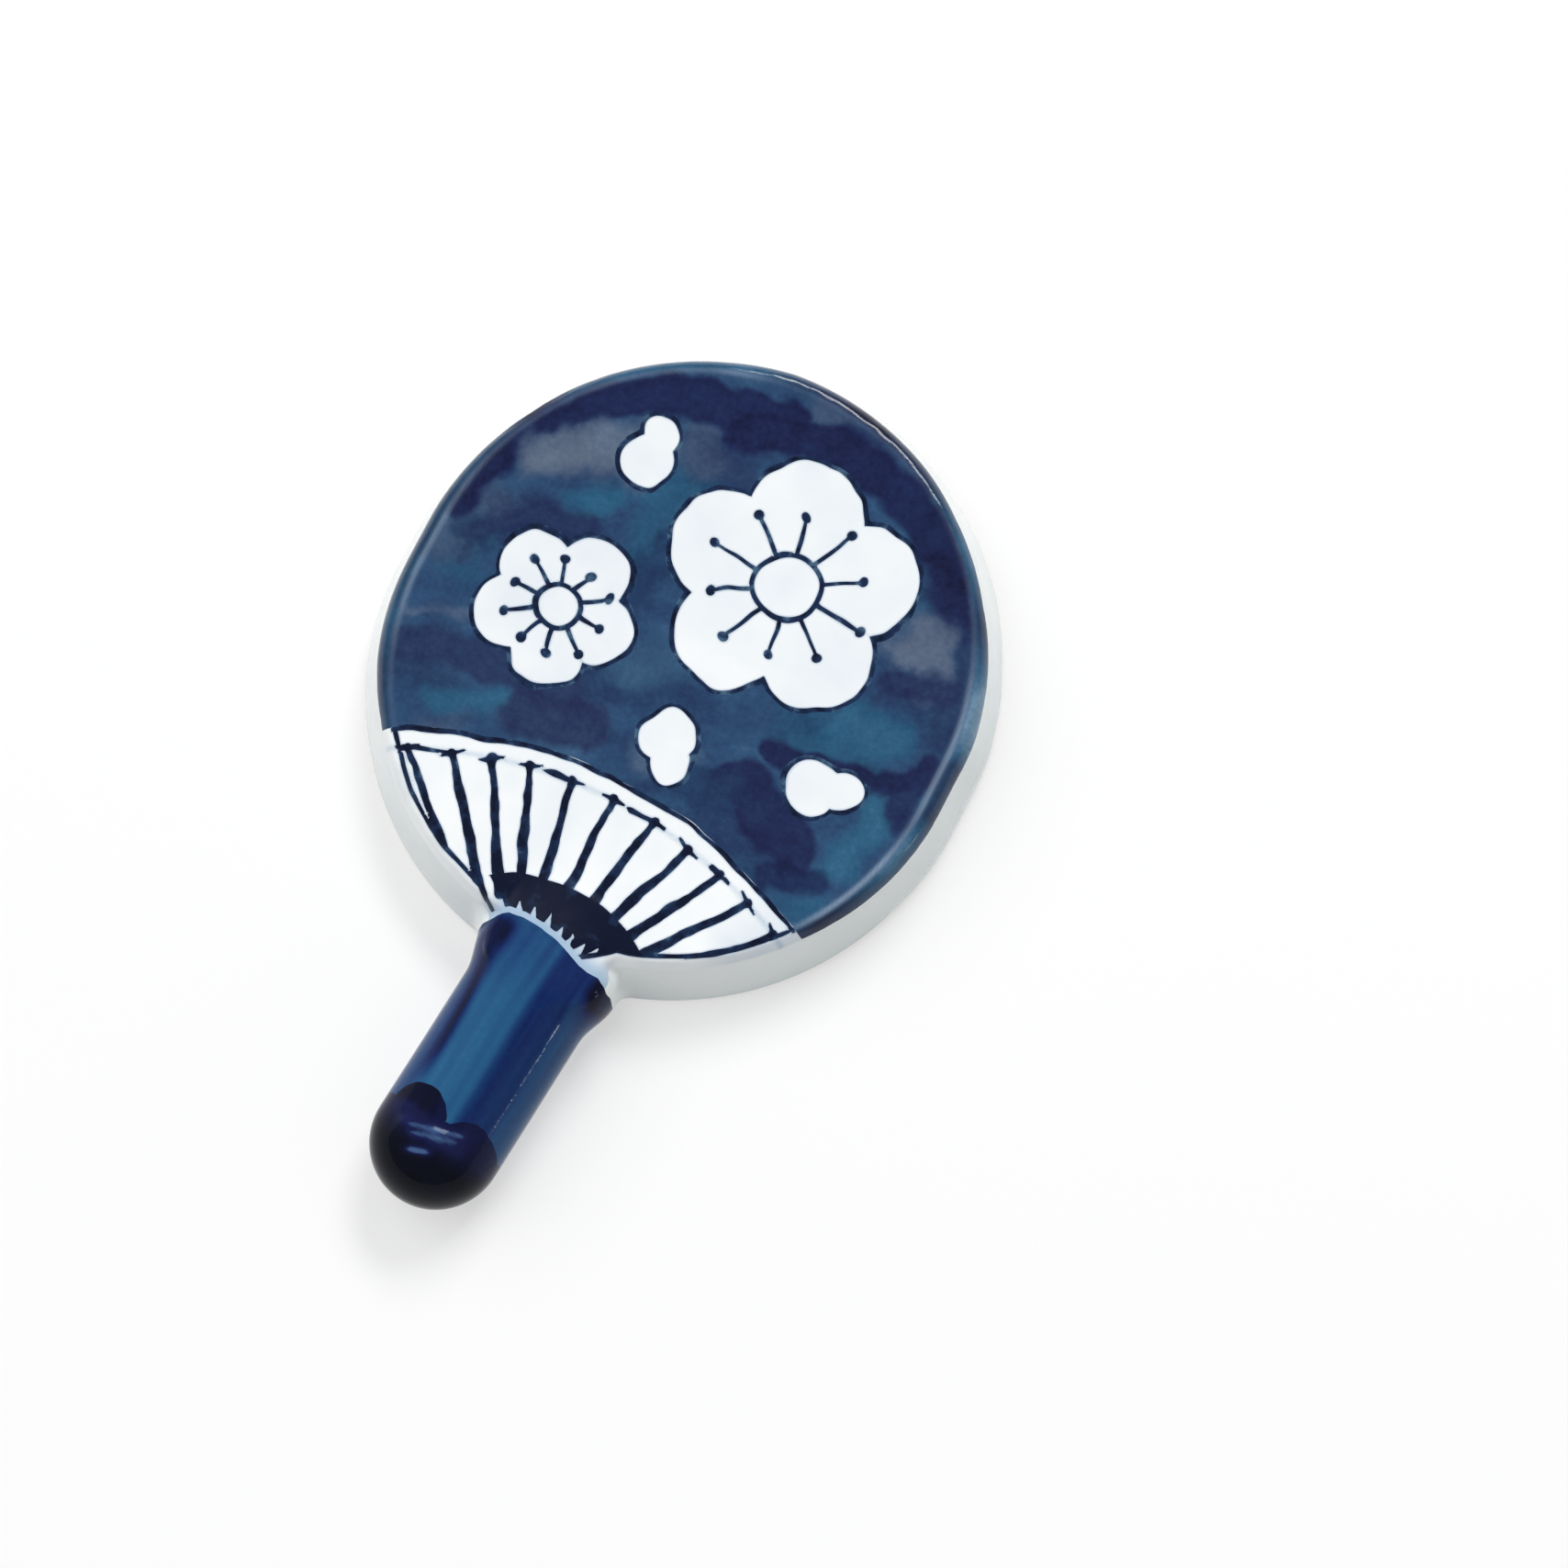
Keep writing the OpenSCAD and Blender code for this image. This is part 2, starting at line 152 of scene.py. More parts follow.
def noise(x, y, seed, octaves=3):
    """Value noise from 0 to 1, with a cell of one unit."""
    rows, columns = 97, 89
    total, size, amount = 0.0, 0.0, 1.0
    for o in range(octaves):
        grid = np.random.default_rng(seed + 31 * o).random((rows, columns))
        u, v = x * 2 ** o + 13.7 * seed, y * 2 ** o - 7.3 * seed
        i, j = np.floor(u).astype(int), np.floor(v).astype(int)
        a, b = u - i, v - j
        a, b = a * a * (3 - 2 * a), b * b * (3 - 2 * b)
        i0, i1, j0, j1 = i % rows, (i + 1) % rows, j % columns, (j + 1) % columns
        near, far = mix(grid[i0, j0], grid[i1, j0], a), mix(grid[i0, j1], grid[i1, j1], a)
        total = total + amount * mix(near, far, b)
        size, amount = size + amount, amount / 2
    return total / size


def waves(x, y, z, length, seed):
    """A gentle unevenness from -1 to 1, cheap enough for the whole volume."""
    rng = np.random.default_rng(seed)
    total = 0.0
    for _ in range(5):
        k = rng.normal(size=3)
        k *= 2 * math.pi / length * rng.uniform(0.7, 1.3) / np.linalg.norm(k)
        total = total + np.sin(k[0] * x + k[1] * y + k[2] * z + rng.uniform(0, 6.3))
    return total / 5


class Profile:
    """Signed distance to a closed outline, looked up in a fine table. Negative inside."""

    def __init__(self, points, lo, hi, pitch=0.05, soften=1.0):
        p = np.array(points, float)
        gx, gy = np.arange(lo[0], hi[0] + pitch, pitch), np.arange(lo[1], hi[1] + pitch, pitch)
        x, y = np.meshgrid(gx, gy, indexing="ij")
        best, inside = np.full(x.shape, 1e9), np.zeros(x.shape, bool)
        for (ax, ay), (bx, by) in zip(p, np.roll(p, -1, 0)):
            dx, dy = bx - ax, by - ay
            t = np.clip(((x - ax) * dx + (y - ay) * dy) / (dx * dx + dy * dy + 1e-12), 0, 1)
            best = np.minimum(best, np.hypot(x - ax - t * dx, y - ay - t * dy))
            if ay != by:
                inside ^= ((ay > y) != (by > y)) & (x < (bx - ax) * (y - ay) / (by - ay) + ax)
        table = np.where(inside, -best, best)
        # Softened a little, so that no crease shows
        reach = int(3 * soften + 1)
        kernel = np.exp(-0.5 * (np.arange(-reach, reach + 1) / max(soften, 0.1)) ** 2)
        kernel /= kernel.sum()
        for axis in (0, 1):
            room = [(reach, reach) if i == axis else (0, 0) for i in (0, 1)]
            pad = np.pad(table, room, mode="reflect", reflect_type="odd")
            table = np.apply_along_axis(lambda row: np.convolve(row, kernel, mode="valid"), axis, pad)
        self.table, self.lo, self.pitch = table, lo, pitch

    def __call__(self, r, z):
        u, v = (r - self.lo[0]) / self.pitch, (z - self.lo[1]) / self.pitch
        u = np.clip(u, 0, self.table.shape[0] - 1.001)
        v = np.clip(v, 0, self.table.shape[1] - 1.001)
        i, j = u.astype(int), v.astype(int)
        a, b, t = u - i, v - j, self.table
        return mix(mix(t[i, j], t[i + 1, j], a), mix(t[i, j + 1], t[i + 1, j + 1], a), b)


# The glazed form, as one field

OVER = 3  # how far an outline runs past the part of it that is used


def leaf_points():
    s = np.linspace(0, 1, 40)
    face = np.stack([s * CREST_R, LEAF_H - DISH * (1 - s * s)], 1)
    a = np.radians(np.linspace(0, LIP_TURN, 16))[1:]
    turn = math.radians(LIP_TURN)
    out, down = LIP_W * np.sin(a) / math.sin(turn), LIP_DROP * (1 - np.cos(a)) / (1 - math.cos(turn))
    lip = np.stack([CREST_R + out, LEAF_H - down], 1)
    rest = [[BASE_R, FOOT_ROUND], [BASE_R, -OVER], [-OVER, -OVER], [-OVER, LEAF_H - DISH]]
    return np.concatenate([face, lip, rest])


def handle_points():
    a = np.radians(np.linspace(0, 90, 30))[:-1]
    nose = np.stack([NOSE_R * np.sin(a) ** NOSE_POWER, NOSE_LEN * np.cos(a) ** NOSE_POWER], 1)
    s = np.linspace(0, 1, 16)
    neck = np.stack([HANDLE_R + SWELL * (1 + np.cos(math.pi * s)) / 2, -SWELL_LEN * s], 1)
    b = np.radians(np.linspace(0, 90, 24))
    end = np.stack([HANDLE_R * np.cos(b), -HANDLE_LEN - HANDLE_R * np.sin(b)], 1)
    return np.concatenate([nose, neck, end, [[-OVER, end[-1][1]], [-OVER, NOSE_LEN]]])


leaf_table = Profile(leaf_points(), (-0.5, -1.0), (26.0, 9.5))
handle_table = Profile(handle_points(), (-0.5, -20.5), (9.0, 6.0), soften=1.5)


def leaf_xy(p):
    """A place from the middle of the leaf."""
    return p[..., 0], p[..., 1] - LEAF_Y


def pulled_r(x, y):
    return np.hypot(x, np.maximum(np.abs(y) - LEAF_PULL / 2, 0))


def handle_uv(p):
    """A place across the handle, and along it from the foot of its nose towards the leaf."""
    dx, dy = p[..., 0] - NOSE_SIDE, p[..., 1] - LEAF_Y + NOSE_DOWN
    c, s = math.cos(HANDLE_LEAN), math.sin(HANDLE_LEAN)
    return dx * c - dy * s, dx * s + dy * c


def around(p):
    """The angle round the leaf, in degrees from +X towards +Y."""
    x, y = leaf_xy(p)
    return np.degrees(np.arctan2(y - np.clip(y, -LEAF_PULL / 2, LEAF_PULL / 2), x))


def edge_off(p):
    return np.interp(around(p), *zip(*EDGE))


def coat_at(z):
    """The glaze thins out towards the foot."""
    return COAT * (0.12 + 0.88 * step(0.5, 1.5, z))


def least_at(z):
    """Nowhere is the coat thinner than the fired body needs."""
    return COAT_LEAST * step(0.4, 1.0, z)


def leaf_d(p):
    x, y = leaf_xy(p)
    r, z = pulled_r(x, y), p[..., 2]
    q = r - EDGE_SHARE * edge_off(p) * step(*EDGE_FROM, r)
    uneven = LEAF_WAVE[0] * waves(x, y, z, LEAF_WAVE[1], 3)
    bead = BEAD_H * np.exp(-((q - CREST_R - BEAD_OUT) / BEAD_W) ** 2) * (1 + 0.8 * waves(x, y, z, 1.5, 5))
    d = leaf_table(q, z) - coat_at(z) - uneven * step(*WAVES_FROM, z) - bead * step(*BEAD_FROM, z)
    return np.minimum(d, leaf_table(r, z) - least_at(z))


def ridges(u, v):
    """The glaze ridges across the handle's end. The upper one widens as it rises, so its slope stays."""
    along, wide = v - RIDGE_TILT * u, 1 + 0.5 * np.minimum((u + 0.5) ** 2, 1)
    high = RIDGE_H * wide * np.exp(-((along - RIDGE_V + 0.25 * (wide - 1)) / (RIDGE_W * wide)) ** 2)
    return high + FORE_H * np.exp(-((along - FORE_V) / FORE_W) ** 2)


def handle_d(p):
    u, v = handle_uv(p)
    z = p[..., 2]
    d = handle_table(np.hypot(u, z - HANDLE_Z), v)
    crown = np.hypot(u, z - CROWN_Z) - CROWN_R
    fall = (z - CROWN_Z - CROWN_R) * math.cos(BACK_SLOPE) + (v + SWELL_LEN) * math.sin(BACK_SLOPE)
    back = np.hypot(u, fall + BACK_R) - BACK_R
    body = np.maximum(d, np.maximum(crown, back))
    past = [np.maximum(np.abs(w - at) - half, 0) for w, at, half in zip((u, v), TONGUE, TONGUE_HALF)]
    tongue = np.hypot(*past) - TONGUE_ROUND
    d = join(d, np.maximum(tongue, TONGUE_LOW - z), 0.5)
    d = -join(-d, -crown, 0.4)
    d = -join(-d, -back, 0.45)
    uneven = HANDLE_WAVE[0] * waves(u, v, z, HANDLE_WAVE[1], 8) * step(*WAVES_FROM, z)
    uneven = uneven + ridges(u, v) * step(2.6, 1.2, np.abs(u + 0.4)) * step(*RIDGE_FROM, z)
    return np.minimum(d - coat_at(z) - uneven, body - least_at(z))


def glaze_d(p):
    """The whole glazed piece, with a wider fillet at the walls than on the face."""
    return join(leaf_d(p), handle_d(p), NECK_FILLET + NECK_WIDER * step(*NECK_AT, p[..., 2]))


def slope(p):
    e, axes = 0.05, np.eye(3)
    rise = [glaze_d(p + axis * e) - glaze_d(p - axis * e) for axis in axes]
    return np.stack(rise, -1) / (2 * e)


def settle(v, times):
    """Moves points onto the field's zero surface."""
    for _ in range(times):
        g = slope(v)
        v = v - g * (glaze_d(v) / np.maximum((g * g).sum(-1), 0.2))[:, None]
    return v


def skin(lo, hi, h):
    """Triangles on the field's zero surface, evenly sized."""
    ax = [np.arange(lo[k], hi[k] + h, h) for k in range(3)]
    x, y = np.meshgrid(ax[0], ax[1], indexing="ij")
    f = np.stack([glaze_d(np.stack([x, y, np.full_like(x, z)], -1)) for z in ax[2]], -1)
    inside = f < 0
    n = [m - 1 for m in f.shape]
    corner = [(i, j, k) for i in (0, 1) for j in (0, 1) for k in (0, 1)]
    count = sum(inside[i:i + n[0], j:j + n[1], k:k + n[2]].astype(np.uint8) for i, j, k in corner)
    cells = np.argwhere((count > 0) & (count < 8))
    ids = np.full(n, -1)
    ids[tuple(cells.T)] = np.arange(len(cells))
    value = {c: f[tuple((cells + c).T)] for c in corner}
    # One point in each cell that the surface crosses, amid its crossings of the cell's edges
    place, hits = np.zeros((len(cells), 3)), np.zeros(len(cells))
    for c in corner:
        for axis in range(3):
            if c[axis] == 0:
                d = tuple(1 if k == axis else c[k] for k in range(3))
                a, b = value[c], value[d]
                cross = (a < 0) != (b < 0)
                t = np.where(cross, a / np.where(cross, a - b, 1), 0)
                point = np.array(c, float) + t[:, None] * (np.array(d) - np.array(c))
                place += point * cross[:, None]
                hits += cross
    verts = (cells + place / hits[:, None]) * h + np.array(lo)
    # One quad round each crossed edge of the grid
    quads = []
    for axis in range(3):
        o1, o2 = (axis + 1) % 3, (axis + 2) % 3
        a = np.moveaxis(inside, (axis, o1, o2), (0, 1, 2))
        g = np.moveaxis(ids, (axis, o1, o2), (0, 1, 2))
        i, j, k = np.nonzero((a[:-1] != a[1:])[:, 1:-1, 1:-1])
        j, k = j + 1, k + 1
        q = np.stack([g[i, j - 1, k - 1], g[i, j, k - 1], g[i, j, k], g[i, j - 1, k]], 1)
        out = a[i, j, k]
        q[~out] = q[~out][:, ::-1]
        quads.append(q)
    quads = np.concatenate(quads)
    quads = quads[(quads >= 0).all(1)]
    # Evened out along the surface
    for _ in range(4):
        total, near = np.zeros_like(verts), np.zeros(len(verts))
        for a, b in ((0, 1), (1, 2), (2, 3), (3, 0)):
            for s, t in ((a, b), (b, a)):
                for k in range(3):
                    total[:, k] += np.bincount(quads[:, s], verts[quads[:, t], k], len(verts))
                near += np.bincount(quads[:, s], minlength=len(verts))
        verts = settle(mix(verts, total / np.maximum(near, 1)[:, None], 0.5), 1)
    verts = settle(verts, 2)
    across = [np.linalg.norm(verts[quads[:, k]] - verts[quads[:, k + 2]], axis=1) for k in (0, 1)]
    swap = across[0] > across[1]
    quads[swap] = np.roll(quads[swap], 1, 1)
    return verts, np.concatenate([quads[:, [0, 1, 2]], quads[:, [0, 2, 3]]])


def cut(verts, tris, field, eps=2e-4):
    """Splits the triangles along the field's zero line, so that a piece ends on a clean curve."""
    val = field(verts)
    val[np.abs(val) < eps] = 0
    edges = np.sort(np.concatenate([tris[:, [0, 1]], tris[:, [1, 2]], tris[:, [2, 0]]]), 1)
    edges = np.unique(edges[val[edges[:, 0]] * val[edges[:, 1]] < 0], axis=0)
    if not len(edges):
        return verts, tris
    a, b = verts[edges[:, 0]].copy(), verts[edges[:, 1]].copy()
    fa, fb = val[edges[:, 0]].copy(), val[edges[:, 1]].copy()
    for _ in range(9):
        t = np.clip(fa / (fa - fb), 0.05, 0.95)[:, None]
        m = mix(a, b, t)
        fm = field(m)
        same = (fm * fa > 0)[:, None]
        a, fa = np.where(same, m, a), np.where(same[:, 0], fm, fa)
        b, fb = np.where(same, b, m), np.where(same[:, 0], fb, fm)
    t = (fa / np.where(fa == fb, 1, fa - fb))[:, None]
    base = len(verts)
    verts = np.concatenate([verts, mix(a, b, np.clip(t, 0, 1))])
    key = edges[:, 0].astype(np.int64) * (base + 1) + edges[:, 1]

    def made(i, j):
        want = np.minimum(i, j).astype(np.int64) * (base + 1) + np.maximum(i, j)
        return base + np.searchsorted(key, want)

    def turned(some, turn):
        return np.stack([some[np.arange(len(some)), (turn + k) % 3] for k in range(3)], 1)

    s = np.sign(val)[tris]
    crossed = np.stack([s[:, 0] * s[:, 1] < 0, s[:, 1] * s[:, 2] < 0, s[:, 2] * s[:, 0] < 0], 1)
    number = crossed.sum(1)
    kept = [tris[number == 0]]
    one, two = tris[number == 1], tris[number == 2]
    if len(one):
        # Turned so that the crossed edge is the first
        i, j, k = turned(one, crossed[number == 1].argmax(1)).T
        m = made(i, j)
        kept += [np.stack([i, m, k], 1), np.stack([m, j, k], 1)]
    if len(two):
        # Turned so that the lone corner is the first
        i, j, k = turned(two, (np.argmin(crossed[number == 2], 1) + 2) % 3).T
        m, n = made(i, j), made(i, k)
        kept += [np.stack([i, m, n], 1), np.stack([m, j, k], 1), np.stack([m, k, n], 1)]
    return verts, np.concatenate(kept)


# Where the brush went: fields on the surface, positive inside

def beyond(p):
    """Roughly how far a place on the face lies past the upper border of the handle's wash."""
    u, v = handle_uv(p)
    near = np.full(u.shape, 99.0)
    for (au, av), (bu, bv) in zip(BORDER, BORDER[1:]):
        du, dv = bu - au, bv - av
        t = np.clip(((u - au) * du + (v - av) * dv) / (du ** 2 + dv ** 2), 0, 1)
        near = np.minimum(near, np.hypot(u - au - t * du, v - av - t * dv))
    return np.where(v > np.interp(u, *zip(*BORDER)), near, -near)


def on_handle(p):
    past = beyond(p) + 0.1 * (noise(p[..., 0] * 1.5, p[..., 1] * 1.5, 33, 2) - 0.5)
    wall = np.minimum(np.minimum(leaf_d(p) - WASH_OFF, WASH_OUT - handle_d(p)), WASH_PAST - past)
    return mix(wall, -past, step(4.6, 5.4, p[..., 2]))


def on_face(p):
    x, y = leaf_xy(p)
    r = pulled_r(x, y) - EDGE_SHARE * edge_off(p)
    inward = np.minimum(edge_off(p), 0) * 1.3
    lower = (r - LEAF_R - SLANT_OUT) * SLANT[0] - (p[..., 2] - EDGE_Z - SLANT_UP) * SLANT[1]
    return -lower + inward + 0.12 * (noise(x * 0.9, y * 0.9, 4) - 0.5)


def on_tip(p):
    u, v = handle_uv(p)
    border = TIP_LEN - HANDLE_LEN - HANDLE_R
    field = border - 0.45 * step(1.0, 4.0, u) - v
    for across, past, r in LOBES:
        field = np.maximum(field, r - np.hypot(u - across, v - border - past))
    return field + 0.35 * (noise(u * 0.8, v * 0.8, 21) - 0.5)


def shake(p, size, seed):
    """Moves a place a little, as a hand-held brush does."""
    x, y = leaf_xy(p)
    a = noise(x * 0.45, y * 0.45, seed, 2) - 0.5
    b = noise(x * 0.45, y * 0.45, seed + 5, 2) - 0.5
    return x + size * a, y + size * b


def window_in(p):
    x, y = shake(p, 0.5, 40)
    return WINDOW_R - np.hypot(x, y - WINDOW_Y)


def stroke_d(x, y, a, b, wa, wb):
    """Distance inside a straight stroke from a to b, whose half width goes from wa to wb."""
    dx, dy = b[0] - a[0], b[1] - a[1]
    t = np.clip(((x - a[0]) * dx + (y - a[1]) * dy) / (dx * dx + dy * dy), 0, 1)
    return mix(wa, wb, t) - np.hypot(x - a[0] - t * dx, y - a[1] - t * dy)


def painted(p):
    """Inside the window's painted edge, which runs straight to the collar on both sides of the handle."""
    x, y = shake(p, 0.25, 44)
    low = LEAF_R - STRIP_W - np.hypot(x, y + LEAF_PULL / 2)
    left, right = ((x - at[0]) * way[0] + (y - at[1]) * way[1] for at, way in (LEFT_END, RIGHT_END))
    return np.maximum(low, np.minimum(left, right)), left


def gather_in(p):
    x, y = shake(p, 0.4, 47)
    edge, left = painted(p)
    field = GATHER_R - np.hypot(x - MEET[0], y - MEET[1])
    field = np.minimum(np.minimum(field, edge - 0.12), left - 1.05)
    x, y = leaf_xy(p)
    spikes = np.full(x.shape, NOWHERE)
    for turn, tip in SPIKES:
        a = math.radians(turn)
        ends = (tip - SPIKE_LEN, tip)
        foot, point = ((COLLAR[0] + s * math.sin(a), COLLAR[1] + s * math.cos(a)) for s in ends)
        spikes = np.maximum(spikes, stroke_d(x, y, foot, point, SPIKE_FOOT, SPIKE_TIP))
    spikes = spikes + 0.1 * (noise(x * 2.2, y * 2.2, 49, 2) - 0.5)
    return np.minimum(np.minimum(field, -spikes), beyond(p) - BORDER_GAP)


def rib_in(x, y, i):
    """One rib, with the crossbar and the brush's first touch at its head."""
    turn = (RIB_PITCH * (i - (RIBS - 1) / 2) + 0.35) / INNER_R
    jog = 0.25 * math.sin(7.3 * i + 1)
    head = (INNER_R * math.sin(turn) + jog, WINDOW_Y + (INNER_R - LINE_W / 2) * math.cos(turn))
    gone = math.hypot(MEET[0] - head[0], MEET[1] - head[1])
    way = ((MEET[0] - head[0]) / gone, (MEET[1] - head[1]) / gone)
    foot = (MEET[0] - way[0] * (GATHER_R - 1.5), MEET[1] - way[1] * (GATHER_R - 1.5))
    rib = stroke_d(x, y, head, foot, RIB_HALF + RIB_SWING * math.sin(3.1 * i), RIB_FOOT)
    for arm in (-1, 1):
        tip = (head[0] - arm * RIB_HEAD / 2 * way[1], head[1] + arm * RIB_HEAD / 2 * way[0])
        rib = np.maximum(rib, stroke_d(x, y, head, tip, BAR_HALF, BAR_END))
    touch = (head[0] + 0.5 * way[0], head[1] + 0.5 * way[1])
    return np.maximum(rib, stroke_d(x, y, head, touch, 0.36, 0.2))


def lines_in(p):
    x, y = shake(p, 0.45, 52)
    thick = LINE_W / 2 * (0.6 + 0.8 * noise(x * 0.6, y * 0.6, 60, 2))
    # The border towards the blue field
    line = thick - np.abs(LINE_W / 2 - window_in(p))
    # The inner arc, which is hardly more than the crossbars of the ribs
    along = np.arctan2(x, y - WINDOW_Y) * INNER_R
    broken = 1.3 * step(0.46, 0.66, noise(along * 0.45, along * 0 + 2.2, 64, 1)) - 0.4
    line = np.maximum(line, thick * broken - np.abs(np.hypot(x, y - WINDOW_Y) - INNER_R + LINE_W / 2))
    # The line along the painted edge
    edge = painted(p)[0]
    line = np.maximum(line, thick * 0.8 - np.abs(edge - LINE_W / 2))
    ribs = np.full(x.shape, NOWHERE)
    for i in range(RIBS):
        ribs = np.maximum(ribs, rib_in(x, y, i))
    ribs = ribs + 0.12 * (noise(x * 1.3, y * 1.3, 66, 2) - 0.5)
    line = np.maximum(line, np.minimum(ribs, edge))
    return np.minimum(np.minimum(line, edge + 0.06), beyond(p) - BORDER_GAP)


def petals_in(x, y, place):
    cx, cy, turn, d, r = place
    field = d - np.hypot(x - cx, y - cy)
    for i in range(PETALS):
        a = math.radians(turn + 360 * i / PETALS)
        field = np.maximum(field, r - np.hypot(x - cx + d * math.sin(a), y - cy - d * math.cos(a)))
    return field


def blossom_in(p):
    x, y = shake(p, 0.7, 70)
    field = np.maximum(petals_in(x, y, BIG), petals_in(x, y, SMALL))
    for cx, cy, turn in BUDS:
        a = math.radians(turn)
        field = np.maximum(field, BUD_R - np.hypot(x - cx, y - cy))
        top = np.hypot(x - cx + BUD_R * math.sin(a), y - cy - BUD_R * math.cos(a))
        field = np.maximum(field, BUD_TOP_SHARE * BUD_R - top)
    return field


def stamens_in(p):
    x, y = shake(p, 0.5, 75)
    field = np.full(x.shape, NOWHERE)
    for cx, cy, turn, d, r in (BIG, SMALL):
        heart, tip = (d + r) * HEART_SHARE, (d + r) * STAMEN_SHARE
        field = np.maximum(field, LINE_W / 2 - np.abs(np.hypot(x - cx, y - cy) - heart))
        for i in range(2 * PETALS):
            a = math.radians(turn + 180 * i / PETALS)
            way = (-math.sin(a), math.cos(a))
            reach = tip * (0.9 + 0.15 * ((i * 7) % 5) / 4)
            foot, end = ((cx + s * way[0], cy + s * way[1]) for s in (heart, reach))
            field = np.maximum(field, stroke_d(x, y, foot, end, STAMEN_FOOT, STAMEN_END))
            dot = np.hypot(x - cx - reach * way[0], y - cy - reach * way[1])
            field = np.maximum(field, LINE_W * 0.95 - dot)
    return field


def outline_w(p):
    x, y = leaf_xy(p)
    return LINE_W * (0.55 + 0.8 * noise(x * 0.35, y * 0.35, 80, 2))


# The skin, cut along the brush's borders

def both(*inside):
    """The field of a place that lies inside all of these."""
    def field(p):
        least = inside[0](p)
        for one in inside[1:]:
            least = np.minimum(least, one(p))
        return least
    return field


on_leaf = both(on_face, lambda p: -on_handle(p))
borders = [
    on_handle,
    both(on_handle, on_tip),
    on_leaf,
    both(on_leaf, window_in),
    both(on_leaf, gather_in),
    both(on_leaf, window_in, lines_in),
    both(on_leaf, blossom_in),
    both(on_leaf, lambda p: blossom_in(p) + outline_w(p)),
    both(on_leaf, blossom_in, stamens_in),
]
verts, tris = skin(SPACE_LOW, SPACE_HIGH, SPACING)
verts, tris = cut(verts, tris, lambda p: p[:, 2] - COAT_LOW)
tris = tris[verts[tris][:, :, 2].mean(1) > COAT_LOW]
for border in borders:
    verts, tris = cut(verts, tris, border)

mid = verts[tris].mean(1)
grip, face, tip = on_handle(mid) > 0, on_face(mid) > 0, on_tip(mid) > 0
window, blossom = window_in(mid) > 0, blossom_in(mid) > 0
outlined = blossom_in(mid) + outline_w(mid) > 0
gathered, lined, stamen = gather_in(mid) > 0, lines_in(mid) > 0, stamens_in(mid) > 0
leafy = ~grip & face
neck = ~grip & ~face & (handle_d(mid) < NECK_REACH)
normals = slope(verts)
normals /= np.linalg.norm(normals, axis=1)[:, None]
parts = {
    "grip_wash": grip & ~tip,
    "tip_dip": grip & tip,
    "neck_glaze": neck,
    "wall_coat": ~grip & ~face & ~neck,
    "gather_stroke": leafy & window & gathered,
    "window_strokes": leafy & window & ~gathered & lined,
    "window_ground": leafy & window & ~gathered & ~lined,
    "blossom_ground": leafy & ~window & blossom & ~stamen,
    "blossom_strokes": leafy & ~window & outlined & ~(blossom & ~stamen),
    "face_wash": leafy & ~window & ~outlined,
}


def piece(name, chosen):
    """One coat: its outside is the skin, its inside lies a coat's depth under it."""
    own = tris[chosen]
    used, flat = np.unique(own, return_inverse=True)
    own = flat.reshape(own.shape)
    n = len(used)
    top, out = verts[used], normals[used]
    edge = np.concatenate([own[:, [0, 1]], own[:, [1, 2]], own[:, [2, 0]]])
    key = edge[:, 0].astype(np.int64) * n + edge[:, 1]
    back = edge[:, 1].astype(np.int64) * n + edge[:, 0]
    a, b = edge[~np.isin(key, back)].T
    sides = np.concatenate([np.stack([b, a, a + n], 1), np.stack([b, a + n, b + n], 1)])
    faces = np.concatenate([own, own[:, ::-1] + n, sides])
    co = np.concatenate([top, top - out * COAT_DEEP]) * MM
    me = bpy.data.meshes.new(name)
    me.vertices.add(len(co))
    me.vertices.foreach_set("co", co.ravel())
    me.loops.add(faces.size)
    me.loops.foreach_set("vertex_index", faces.ravel())
    me.polygons.add(len(faces))
    me.polygons.foreach_set("loop_start", np.arange(0, faces.size, 3))
    me.update(calc_edges=True)
    me.polygons.foreach_set("use_smooth", np.ones(len(faces), bool))
    a, b, c = co[sides[:, 0]], co[sides[:, 1]], co[sides[:, 2]]
    flank = np.cross(b - a, c - a)
    flank /= np.maximum(np.linalg.norm(flank, axis=1), 1e-15)[:, None]
    smooth = [out[own].reshape(-1, 3), -out[own[:, ::-1]].reshape(-1, 3), np.repeat(flank, 3, 0)]
    me.normals_split_custom_set(np.concatenate(smooth).tolist())
    ob = bpy.data.objects.new(name, me)
    bpy.context.scene.collection.objects.link(ob)
    return ob, np.concatenate([top, top])


def give(ob, name, values):
    ob.data.attributes.new(name, "FLOAT", "POINT").data.foreach_set("value", np.asarray(values, np.float32))


pieces = {name: piece(name, chosen) for name, chosen in parts.items()}


# How dark the washes lie, and how far they turn to teal or grey: tone 0 is pale, 1 nearly black

